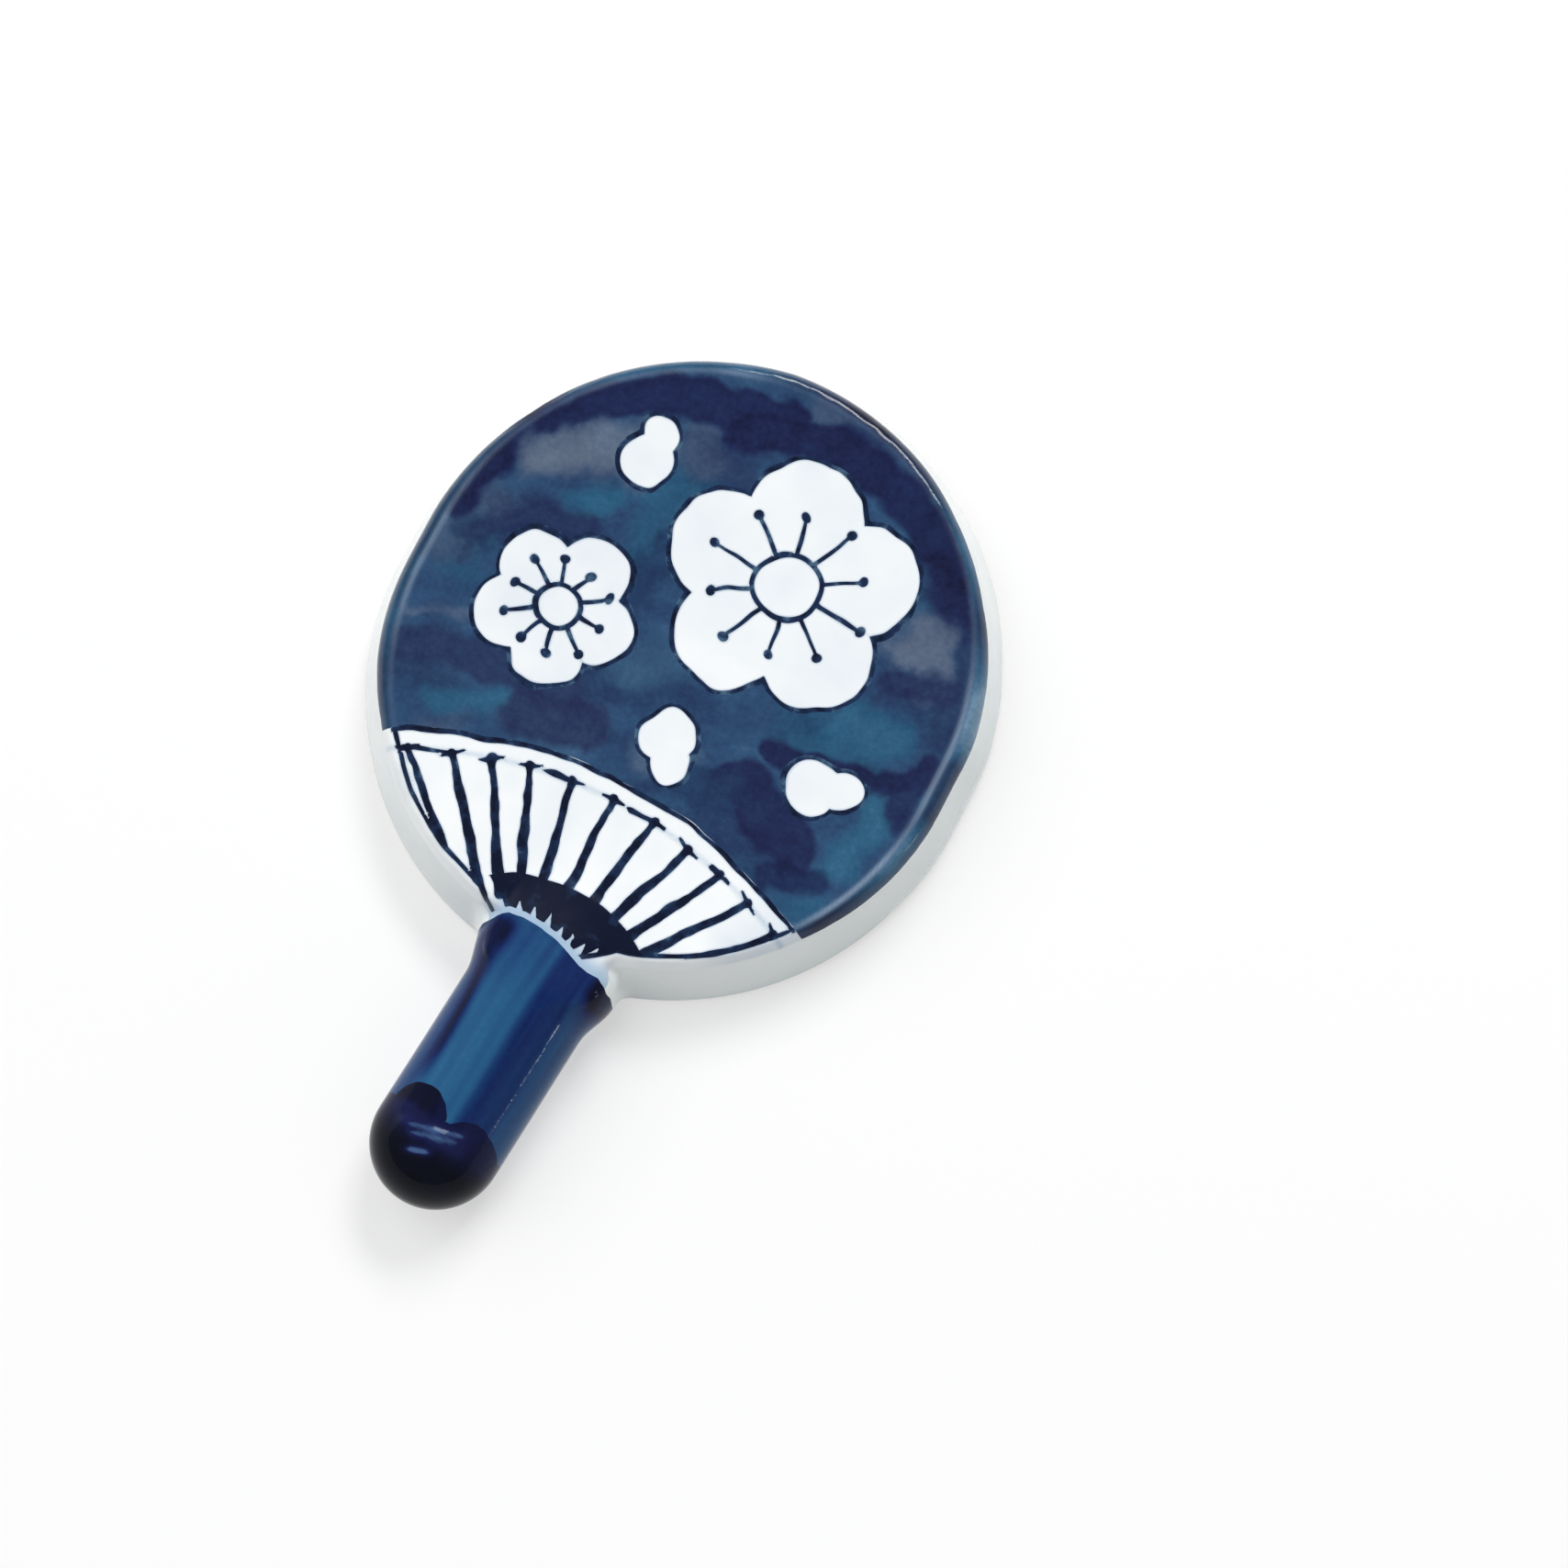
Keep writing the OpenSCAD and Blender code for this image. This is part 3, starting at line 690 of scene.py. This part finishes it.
STROKES = [
    # points, half width, softness, tone, teal, grey, strength
    (((-19.6, 3.0), (-18.3, 8.6), (-14.6, 13.6), (-10.5, 16.6)), 1.0, 0.9, 0.88, 0.0, 0.0, 0.9),
    (((-14.5, 13.8), (-10.4, 16.4), (-5.0, 18.4), (-1.2, 18.6)), 1.5, 0.6, 0.80, 0.0, 0.0, 0.95),
    (((-15.8, 8.6), (-13.4, 10.8), (-10.2, 11.0)), 1.7, 1.2, 0.30, 0.0, 0.85, 0.9),
    (((-12.6, 11.9), (-8.4, 13.6)), 1.1, 1.0, 0.26, 0.1, 0.7, 0.8),
    (((-12.0, 7.0), (-9.8, 8.0)), 1.0, 1.1, 0.30, 1.0, 0.0, 0.8),
    (((-17.8, 1.4), (-14.2, 4.2), (-11.0, 5.0)), 1.5, 1.4, 0.76, 0.0, 0.1, 0.7),
    (((-19.0, -5.4), (-13.4, -3.2)), 0.35, 0.7, 0.25, 0.0, 0.7, 0.65),
    (((-18.8, -8.2), (-13.0, -6.4), (-6.4, -6.0)), 1.6, 0.9, 0.70, 0.0, 0.2, 0.8),
    (((-18.9, -10.2), (-14.0, -9.3)), 0.9, 0.9, 0.62, 0.1, 0.1, 0.6),
    (((-14.4, -10.4), (-9.6, -8.6)), 0.9, 0.8, 0.28, 0.85, 0.0, 0.8),
    (((-7.6, -8.6), (-3.8, -7.4)), 1.8, 1.0, 0.72, 0.0, 0.3, 0.8),
    (((-3.2, 17.0), (3.6, 18.9), (9.6, 17.4), (13.6, 14.2)), 1.5, 0.7, 0.84, 0.0, 0.0, 0.95),
    (((13.0, 13.9), (16.0, 11.0)), 1.5, 1.0, 0.90, 0.0, 0.1, 0.8),
    (((12.2, 12.4), (13.2, 9.6)), 1.2, 1.2, 0.42, 0.5, 0.1, 0.7),
    (((13.6, 7.6), (15.0, 9.6), (16.0, 6.6)), 1.7, 1.3, 0.32, 0.0, 0.85, 0.85),
    (((17.4, 12.0), (18.6, 7.6), (18.9, 3.0)), 0.9, 0.8, 0.66, 0.1, 0.1, 0.8),
    (((14.2, 5.2), (17.4, 6.0)), 1.0, 0.9, 0.76, 0.0, 0.2, 0.85),
    (((11.6, 0.8), (15.4, 1.4)), 1.6, 1.1, 0.34, 0.75, 0.0, 0.85),
    (((8.6, -3.0), (12.4, -2.4), (16.6, -2.2), (18.8, 0.0)), 0.9, 0.5, 0.86, 0.0, 0.1, 0.9),
    (((18.9, 0.6), (18.6, -3.8)), 0.9, 0.7, 0.80, 0.0, 0.1, 0.8),
    (((7.4, -6.2), (10.8, -7.4), (13.0, -8.6)), 1.9, 0.8, 0.84, 0.0, 0.1, 0.85),
    (((16.8, -3.6), (17.5, -6.0), (16.4, -8.4)), 1.2, 0.8, 0.30, 0.8, 0.0, 0.85),
    (((12.4, -11.0), (15.6, -10.0)), 0.9, 0.7, 0.80, 0.1, 0.0, 0.8),
    (((3.0, -7.6), (7.0, -7.8)), 1.4, 1.0, 0.62, 0.2, 0.0, 0.8),
    (((0.6, -7.6), (3.2, -6.2)), 1.0, 1.1, 0.28, 0.3, 0.6, 0.7),
    (((-5.6, 2.4), (-4.4, 6.6)), 1.4, 1.0, 0.66, 0.1, 0.0, 0.7),
    (((-3.6, -2.4), (0.4, 0.4)), 1.5, 1.0, 0.36, 0.5, 0.2, 0.6),
    (((8.2, -1.0), (10.6, 1.6)), 1.0, 0.8, 0.50, 0.4, 0.0, 0.6),
]
# Places round the rim: angle, half width, strength
RIM_DARK = [(-33, 9, 1.0), (-1, 3, 0.7), (30, 7, 0.5), (80, 22, 0.9), (150, 7, 1.0), (-152, 8, 0.6)]
RIM_RUN, RIM_PALE = [(-13, 7, 0.7)], [(11, 12, 1.0), (48, 7, 0.5), (107, 4, 0.5)]
CREST_PALE = [(-22, 18, 0.75), (184, 16, 0.38), (128, 14, 0.2), (107, 6, 0.35), (9, 12, 0.55)]
# Pale streaks painted on the handle's end as highlights beside the glaze ridge: place, left, right, strength
PAINTED_HIGHLIGHTS = [(14.0, -1.6, 1.9, 0.7), (14.55, -1.3, 1.7, 0.56)]
# The blobs of the handle's wash at the neck: across, half width, half length, strength
BLOBS = [(-3.6, 0.75, 1.25, 1.0), (4.8, 1.15, 1.6, 1.5)]


def rim(phi, places, start=0):
    """What such places add up to at an angle."""
    bumps = (much * np.exp(-(((phi - at + 180) % 360 - 180) / half) ** 2) for at, half, much in places)
    return sum(bumps, start)


def face_masks(p):
    """Tone, teal, grey and thin crest of the leaf's wash."""
    x, y = shake(p, 1.4, 90)
    r = pulled_r(*leaf_xy(p))
    turned = x * 0.93 + y * 0.36, -x * 0.36 + y * 0.93
    tone = 0.50 + 0.34 * (noise(x * 0.16, y * 0.16, 91) - 0.5)
    tone = tone + 0.20 * (noise(turned[0] * 0.14, turned[1] * 0.9, 92) - 0.5)
    teal = step(0.52, 0.72, noise(x * 0.17, y * 0.17, 93)) * 0.6
    grey = step(0.62, 0.80, noise(x * 0.15, y * 0.15, 94)) * 0.35
    for i, (points, half, soft, t, b, g, much) in enumerate(STROKES):
        away = np.full(x.shape, -99.0)
        for a, c in zip(points, points[1:]):
            away = np.maximum(away, stroke_d(x, y, a, c, half, half))
        away = away + 1.1 * soft * (noise(x * 0.8, y * 0.8, 100 + i, 3) - 0.5)
        m = step(-soft * 0.6, soft * 0.6, away) * much
        # The wash dries darker just inside a stroke's border
        dried = 0.07 * step(soft * 0.9, 0.0, np.abs(away - 0.2 * soft))
        tone, teal, grey = mix(tone, t + dried, m), mix(teal, b, m), mix(grey, g, m)
    # The rim outside the crest: dark teal, with dark segments and places where the wash has run thin
    phi = around(p)
    out = step(CREST_R + 0.05, CREST_R + 0.4, r)
    patch = noise(phi * 0.05 + 9, r * 0.3, 150, 3) - 0.5
    dark = rim(phi, RIM_DARK)
    pale = rim(phi, RIM_PALE, rim(phi, RIM_RUN) * step(21.0, 20.4, r))
    pale = np.clip(pale + 0.5 * step(0.25, 0.5, patch), 0, 1) * (1 - 0.8 * np.clip(dark, 0, 1))
    lip = np.clip(0.60 + 0.34 * np.clip(dark, 0, 1) + 0.5 * patch, 0, 1) * (1 - 0.95 * pale)
    tone = mix(tone, lip, out * 0.95)
    teal = mix(teal, np.clip(0.8 - 0.5 * dark - 0.6 * pale, 0, 1), out * 0.9)
    grey = mix(grey, 0.0, out)
    # The crest itself, where the wash is thinnest
    crest = np.exp(-((r - CREST_R - 0.08) / 0.2) ** 2) * rim(phi, CREST_PALE, 0.10)
    crest = crest * (0.5 + 0.8 * noise(phi * 0.12, r * 0, 151, 2))
    return {"tone": tone, "teal": teal, "grey": grey, "crest": np.clip(crest, 0, 1)}


def white_depth(p):
    """Millimetres into the white from the nearest paint."""
    blossom = blossom_in(p)
    window_d = -np.maximum(lines_in(p), gather_in(p))
    blossom_d = np.where(blossom > 0, np.minimum(blossom, -stamens_in(p)), NOWHERE)
    return np.clip(np.where(window_in(p) > 0, window_d, blossom_d), 0, 5)


def window_masks(p):
    """The window's white is bluer at the collar, along the inner arc and on the right. At the collar this is
    bled paint with a painted shadow; on the right it is painted shade.
    """
    x, y = leaf_xy(p)
    arc = np.exp(-((np.hypot(x, y - WINDOW_Y) - INNER_R + LINE_W / 2) / 0.2) ** 2)
    # Bluer near the collar, where paint bleeds and a painted shadow lies, along the inner arc, and on the
    # right as painted shade
    tint_and_shade = 0.95 * step(1.9, 0.1, beyond(p)) + 0.4 * arc + 0.35 * step(9.0, 16.5, x)
    tint_and_shade = tint_and_shade + 0.25 * (noise(x * 0.3, y * 0.3, 170) - 0.5)
    return {"depth": white_depth(p), "tint_and_shade": np.clip(tint_and_shade, 0, 1)}


def blossom_masks(p):
    x, y = leaf_xy(p)
    return {"depth": white_depth(p), "tint_and_shade": 0.15 * noise(x * 0.3, y * 0.3, 171)}


def blossom_line_masks(p):
    blossom, stamens = blossom_in(p), stamens_in(p)
    inside = np.maximum(np.minimum(blossom + outline_w(p), -blossom), np.minimum(stamens, blossom))
    return {"depth": 0.06 + 0.5 * np.clip(inside, 0, 0.2)}


def window_line_masks(p):
    return {"depth": 0.12 + 0.6 * np.clip(lines_in(p), 0, 0.25)}


def gather_masks(p):
    return {"depth": 0.30 + 0.1 * np.clip(gather_in(p), 0, 1)}


def grip_masks(p):
    """The handle's wash: bands along it, a dark stripe on the left, and two dark blobs at the neck."""
    u, v = handle_uv(p)
    w = u + 0.5 * (noise(v * 0.22, u * 0.1, 200) - 0.5)
    tone = 0.28 + 0.14 * step(-4.5, 0.5, v)
    tone = mix(tone, 0.72, step(0.2, 1.5, w))
    tone = mix(tone, 0.40, step(2.9, 3.7, w))
    stripe = -3.05 - 0.75 * step(-7.0, 0.5, v)
    tone = mix(tone, 0.50, step(stripe + 0.2, stripe - 0.5, w))
    fade = step(-13.0, -8.5, v) * step(1.4, 0.6, v)
    tone = mix(tone, 0.94, fade * np.exp(-((w - stripe) / (0.48 + 0.3 * step(-5, 0, v))) ** 2))
    blob = sum(much * np.exp(-((u - at) / wide) ** 2 - (v / long) ** 2) for at, wide, long, much in BLOBS)
    tone = mix(tone, 0.97, np.clip(1.2 * blob, 0, 1))
    tone = mix(tone, 0.34, 0.7 * step(0.4, 0.0, leaf_d(p) - WASH_OFF) * step(3.4, 2.6, np.abs(u)))
    return {"streak": noise(u * 1.8, v * 0.1, 210, 3), "tone": tone}


def tip_masks(p):
    """The wash on the handle's end: darkest at its foot, thinner across its top, with a painted reflection
    and painted highlights.
    """
    u, v = handle_uv(p)
    tone = 0.42 + 0.5 * step(-14.4, -16.4, v) + 0.25 * step(-0.2, -1.8, u) * step(-13.6, -12.6, v)
    tone = tone - 0.2 * np.exp(-((v + 14.3) / 1.0) ** 2 - ((u - 0.2) / 2.4) ** 2)
    # A pale bar across the end, painted in as the reflection of a soft light
    tone = mix(tone, -0.2, 0.85 * np.exp(-((v + 15.72 - 0.33 * u) / 0.3) ** 2 - ((u + 0.2) / 0.95) ** 4))
    # Two pale streaks beside the glaze ridge, painted in as highlights
    for at, left, right, much in PAINTED_HIGHLIGHTS:
        along = step(left - 0.5, left + 0.3, u) * step(right + 0.5, right - 0.3, u)
        painted_glint = much * along * (0.6 + 0.5 * noise(u * 1.4, v * 4, 220))
        tone = mix(tone, -0.1, painted_glint * np.exp(-((v + at - 0.32 * u) / 0.17) ** 2))
    return {"tone": tone}


# Materials. A cloud's scale is in cells to the metre

class Nodes:
    """Short calls for building a node tree."""

    def __init__(self, owner):
        owner.use_nodes = True
        self.tree = owner.node_tree
        self.tree.nodes.clear()

    def new(self, kind, out=0, props=(), **sockets):
        """A node's output, or the node itself where out is None. A socket is named, or numbered as i0, i1."""
        node = self.tree.nodes.new(kind)
        for key, value in dict(props).items():
            setattr(node, key, value)
        for key, value in sockets.items():
            numbered = key[0] == "i" and key[1:].isdigit()
            socket = node.inputs[int(key[1:]) if numbered else key.replace("_", " ")]
            if isinstance(value, bpy.types.NodeSocket):
                self.tree.links.new(value, socket)
            else:
                socket.default_value = value
        return node if out is None else node.outputs[out]

    def attr(self, name):
        return self.new("ShaderNodeAttribute", "Fac", {"attribute_name": name})

    def math(self, op, a, b=0.0, c=0.0):
        return self.new("ShaderNodeMath", 0, {"operation": op}, i0=a, i1=b, i2=c)

    def span(self, v, lo, hi, to_lo=0.0, to_hi=1.0):
        return self.new("ShaderNodeMapRange", 0, {"interpolation_type": "SMOOTHSTEP"}, Value=v,
                        From_Min=lo, From_Max=hi, To_Min=to_lo, To_Max=to_hi)

    def place(self):
        return self.new("ShaderNodeTexCoord", "Object")

    def cloud(self, scale, detail=3.0, rough=0.55):
        return self.new("ShaderNodeTexNoise", "Fac", Vector=self.place(), Scale=scale, Detail=detail,
                        Roughness=rough)

    def swing(self, source, much):
        """A field from 0 to 1, as an offset to both sides."""
        return self.math("MULTIPLY", self.math("SUBTRACT", source, 0.5), much)

    def blend(self, fac, a, b):
        return self.new("ShaderNodeMix", 2, {"data_type": "RGBA", "blend_type": "MIX"}, i0=fac, i6=a, i7=b)

    def ramp(self, fac, stops):
        node = self.new("ShaderNodeValToRGB", None, Fac=fac)
        elements = node.color_ramp.elements
        while len(elements) < len(stops):
            elements.new(0.5)
        for e, (pos, col) in zip(elements, stops):
            e.position, e.color = pos, col
        return node.outputs[0]

    def shown(self):
        """1 for what looks at the background: the camera, gloss and glass."""
        path = self.new("ShaderNodeLightPath", None).outputs
        gloss = self.math("MAXIMUM", path["Is Glossy Ray"], path["Is Transmission Ray"])
        return self.math("MAXIMUM", path["Is Camera Ray"], gloss)


def srgb(r, g, b):
    linear = (v / 255 / 12.92 if v <= 10.31 else ((v / 255 + 0.055) / 1.055) ** 2.4 for v in (r, g, b))
    return tuple(linear) + (1.0,)


def cobalt(r, g, b):
    """A cobalt tone, as it looks in full light."""
    return tuple(0.86 * v for v in srgb(r, g, b)[:3]) + (1.0,)


def glaze(name, colour, rough=0.09, swing=0.05, bump=0.35, level=0.5):
    """A glossy glaze over what colour(nodes) paints, with the faint unevenness of a fired surface."""
    mat = bpy.data.materials.new(name)
    n = Nodes(mat)
    height = n.math("ADD", n.cloud(420.0, 2.0), n.math("MULTIPLY", n.cloud(2600.0, 2.0), 0.25))
    normal = n.new("ShaderNodeBump", 0, Strength=bump, Distance=0.00006, Height=height)
    shine = n.span(n.cloud(700.0, 3.0), 0.35, 0.65, rough, rough + swing)
    surface = n.new("ShaderNodeBsdfPrincipled", 0, Base_Color=colour(n), Roughness=shine, Normal=normal,
                    Specular_IOR_Level=level)
    n.new("ShaderNodeOutputMaterial", None, Surface=surface)
    return mat


def wash_colour(n):
    grain, blot = n.swing(n.cloud(2400.0, 4.0, 0.65), 0.30), n.swing(n.cloud(620.0, 3.0), 0.26)
    tone = n.math("ADD", n.attr("tone"), n.math("ADD", grain, blot))
    blue = n.ramp(tone, [
        (0.0, cobalt(124, 152, 178)), (0.22, cobalt(72, 106, 138)), (0.42, cobalt(50, 82, 118)),
        (0.60, cobalt(40, 62, 98)), (0.78, cobalt(33, 43, 84)), (1.0, cobalt(20, 22, 50))])
    teal = n.ramp(tone, [
        (0.0, cobalt(110, 160, 180)), (0.3, cobalt(46, 102, 134)), (0.6, cobalt(30, 74, 104)),
        (1.0, cobalt(12, 24, 42))])
    grey = n.ramp(tone, [
        (0.0, cobalt(138, 150, 166)), (0.3, cobalt(104, 115, 134)), (0.7, cobalt(56, 66, 98)),
        (1.0, cobalt(28, 28, 54))])
    colour = n.blend(n.attr("teal"), blue, teal)
    colour = n.blend(n.attr("grey"), colour, grey)
    return n.blend(n.attr("crest"), colour, cobalt(142, 164, 188))


def line_colour(n):
    return n.ramp(n.math("ADD", n.cloud(900.0, 3.0), n.attr("depth")), [
        (0.42, cobalt(74, 104, 130)), (0.56, cobalt(30, 50, 84)), (0.78, cobalt(14, 22, 46))])


def white_colour(n):
    base = n.ramp(n.cloud(160.0, 3.0), [(0.35, srgb(234, 238, 240)), (0.65, srgb(242, 244, 244))])
    # In the window this tint is painted shade on the right and a painted shadow at the collar; on the
    # blossoms it is only a faint tint
    base = n.blend(n.attr("tint_and_shade"), base, srgb(150, 178, 203))
    # A blue halo where the paint bleeds into the glaze
    halo = n.span(n.attr("depth"), 0.0, 0.16, 0.55, 0.0)
    return n.blend(halo, base, srgb(150, 172, 196))


def wall_colour(n):
    base = n.ramp(n.cloud(120.0, 3.0), [(0.35, srgb(222, 228, 229)), (0.65, srgb(232, 236, 235))])
    # Darker and faintly blue-green towards the foot: partly glaze gathered there, partly painted shade near
    # the table
    low = n.span(n.new("ShaderNodeSeparateXYZ", 2, Vector=n.place()), 0.0006, 0.0016, 0.45, 0.0)
    base = n.blend(low, base, srgb(206, 219, 219))
    speck = n.span(n.cloud(1500.0, 1.0), 0.79, 0.84)
    return n.blend(n.math("MULTIPLY", speck, 0.5), base, srgb(150, 140, 120))


def grip_colour(n):
    streak, grain = n.swing(n.attr("streak"), 0.26), n.swing(n.cloud(2200.0, 4.0, 0.6), 0.12)
    tone = n.math("ADD", n.attr("tone"), n.math("ADD", streak, grain))
    return n.ramp(tone, [
        (0.0, cobalt(66, 122, 154)), (0.25, cobalt(42, 94, 136)), (0.5, cobalt(32, 68, 116)),
        (0.75, cobalt(21, 40, 92)), (1.0, cobalt(14, 17, 42))])


def tip_colour(n):
    tone = n.math("ADD", n.attr("tone"), n.swing(n.cloud(500.0, 3.0), 0.5))
    # The palest stop gives the painted reflection and painted highlights
    return n.ramp(tone, [
        (0.0, cobalt(70, 98, 142)), (0.22, cobalt(29, 34, 79)), (0.5, cobalt(18, 21, 46)),
        (1.0, cobalt(10, 12, 22))])


def bare(name):
    """Unglazed porcelain: matte, faintly warm, with a fine tooth."""
    mat = bpy.data.materials.new(name)
    n = Nodes(mat)
    base = n.ramp(n.cloud(260.0, 4.0), [(0.3, srgb(222, 217, 208)), (0.7, srgb(236, 233, 226))])
    tooth = n.new("ShaderNodeBump", 0, Strength=0.5, Distance=0.00004, Height=n.cloud(5200.0, 4.0, 0.7))
    matte = n.span(n.cloud(1500.0), 0.3, 0.7, 0.62, 0.82)
    surface = n.new("ShaderNodeBsdfPrincipled", 0, Base_Color=base, Roughness=matte, Normal=tooth)
    n.new("ShaderNodeOutputMaterial", None, Surface=surface)
    return mat


wash_mat = glaze("cobalt_wash", wash_colour, level=0.26)
line_mat = glaze("brush_line", line_colour)
white_mat = glaze("white_ground", white_colour)
wall_mat = glaze("clear_wall", wall_colour)
grip_mat = glaze("grip_wash", grip_colour, rough=0.06, level=0.1)
tip_mat = glaze("tip_wash", tip_colour, rough=0.03, swing=0.03, bump=0.2, level=0.08)
bare_mat = bare("bare_porcelain")

# Piece: material, what varies over it, the record's slot, the nodes that it stands for
dress = {
    "grip_wash": (grip_mat, grip_masks, "handle_blue", ["handle_wash"]),
    "tip_dip": (tip_mat, tip_masks, "tip_blue", ["tip_wash"]),
    "neck_glaze": (wall_mat, None, "clear_glaze", ["neck_slip"]),
    "wall_coat": (wall_mat, None, "clear_glaze", ["wall_glaze"]),
    "gather_stroke": (line_mat, gather_masks, "dark_line", ["rib_gather"]),
    "window_strokes": (line_mat, window_line_masks, "dark_line", ["window_lines"]),
    "window_ground": (white_mat, window_masks, "clear_glaze", ["window_glaze"]),
    "blossom_ground": (white_mat, blossom_masks, "clear_glaze", ["blossom_glaze"]),
    "blossom_strokes": (line_mat, blossom_line_masks, "dark_line", ["blossom_lines"]),
    "face_wash": (wash_mat, face_masks, "blue_wash", ["leaf_wash"]),
}
for name, (mat, masks, slot, nodes) in dress.items():
    ob, p = pieces[name]
    ob.data.materials.append(mat)
    if masks:
        for key, values in masks(p).items():
            give(ob, key, values)
    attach(ob, "root")
    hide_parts(*nodes)
for name in ("leaf_body", "handle_body"):
    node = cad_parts[name]
    node.data.materials.clear()
    node.data.materials.append(bare_mat)

# Floor and room: both white to the camera, and plain in the light that they give

FLOOR_HALF = 3.0
corners = [(x * FLOOR_HALF, y * FLOOR_HALF, 0) for x, y in ((-1, -1), (1, -1), (1, 1), (-1, 1))]
floor_me = bpy.data.meshes.new("floor")
floor_me.from_pydata(corners, [], [(0, 1, 2, 3)])
floor = bpy.data.objects.new("floor", floor_me)
bpy.context.scene.collection.objects.link(floor)
mat = bpy.data.materials.new("pale_floor")
n = Nodes(mat)
plain = n.new("ShaderNodeBsdfDiffuse", 0, Color=(0.9, 0.9, 0.89, 1))
white = n.new("ShaderNodeEmission", 0, Color=(1, 1, 1, 1), Strength=1.0)
shown = n.new("ShaderNodeMixShader", 0, i0=n.math("MULTIPLY", n.shown(), 0.5), i1=plain, i2=white)
n.new("ShaderNodeOutputMaterial", None, Surface=shown)
floor_me.materials.append(mat)

world = bpy.data.worlds.new("studio")
bpy.context.scene.world = world
n = Nodes(world)
up = n.new("ShaderNodeSeparateXYZ", 2, Vector=n.new("ShaderNodeTexCoord", "Generated"))
wall_grey, dim_grey, top_grey = (0.42, 0.43, 0.44, 1), (0.12, 0.12, 0.13, 1), (0.1, 0.1, 0.11, 1)
sky = n.ramp(up, [(0.0, wall_grey), (0.82, wall_grey), (0.93, dim_grey), (1.0, top_grey)])
# Where the floor ends, the room is as white as the floor
horizon = n.math("MULTIPLY", n.shown(), n.span(up, 0.08, 0.14, 1.0, 0.0))
sky = n.blend(horizon, sky, (1, 1, 1, 1))
n.new("ShaderNodeOutputWorld", None, Surface=n.new("ShaderNodeBackground", 0, Color=sky, Strength=1.0))

# Camera and lamps, in metres

AZ, EL = math.radians(27), math.radians(78)
BACK = Vector((math.sin(AZ) * math.cos(EL), -math.cos(AZ) * math.cos(EL), math.sin(EL)))
LOOK, AWAY = Vector((9.905, 5.54, 0)) * MM, 0.2526
SENSOR, FOCAL_PX, PHOTO_PX = 36, 3840, 1708


def from_image(right, up, high):
    """A direction given by the photograph's right and up, and by height."""
    r = Vector((math.cos(AZ), math.sin(AZ), 0))
    u = Vector((-math.sin(AZ), math.cos(AZ), 0))
    return (r * right + u * up + Vector((0, 0, high))).normalized()


def lamp(name, way, distance, wide, high, power, along=None, mirrored=True):
    """A rectangular lamp that faces the piece. Its width runs along a direction, by default a level one."""
    data = bpy.data.lights.new(name, "AREA")
    data.shape, data.size, data.size_y, data.energy = "RECTANGLE", wide, high, power
    ob = bpy.data.objects.new(name, data)
    bpy.context.scene.collection.objects.link(ob)
    side = along or Vector((0, 0, 1)).cross(way)
    tall = way.cross(side).normalized()
    ob.location = LOOK + way * distance
    ob.rotation_euler = Matrix((tall.cross(way), tall, way)).transposed().to_euler()
    ob.visible_glossy = mirrored


lamp("window_light", from_image(0.272, 0.652, 0.708), 0.9, 0.42, 0.19, 4.6, from_image(0.828, -0.533, 0.179))
lamp("soft_top", from_image(-0.6, 0.3, 1.0), 1.5, 1.6, 1.6, 13.2, mirrored=False)
lamp("door_light", Vector((1.0, 0.0, 0.146)).normalized(), 1.0, 0.08, 0.02, 0.24)

cam_data = bpy.data.cameras.new("camera")
cam_data.sensor_width = SENSOR
cam_data.lens = SENSOR * FOCAL_PX / PHOTO_PX
cam_data.clip_start, cam_data.clip_end = 0.01, 20
cam = bpy.data.objects.new("camera", cam_data)
bpy.context.scene.collection.objects.link(cam)
cam.location = LOOK + BACK * AWAY
cam.rotation_mode = "QUATERNION"
cam.rotation_quaternion = (-BACK).to_track_quat("-Z", "Y")
bpy.context.scene.camera = cam
bpy.context.scene.view_settings.view_transform = "Standard"
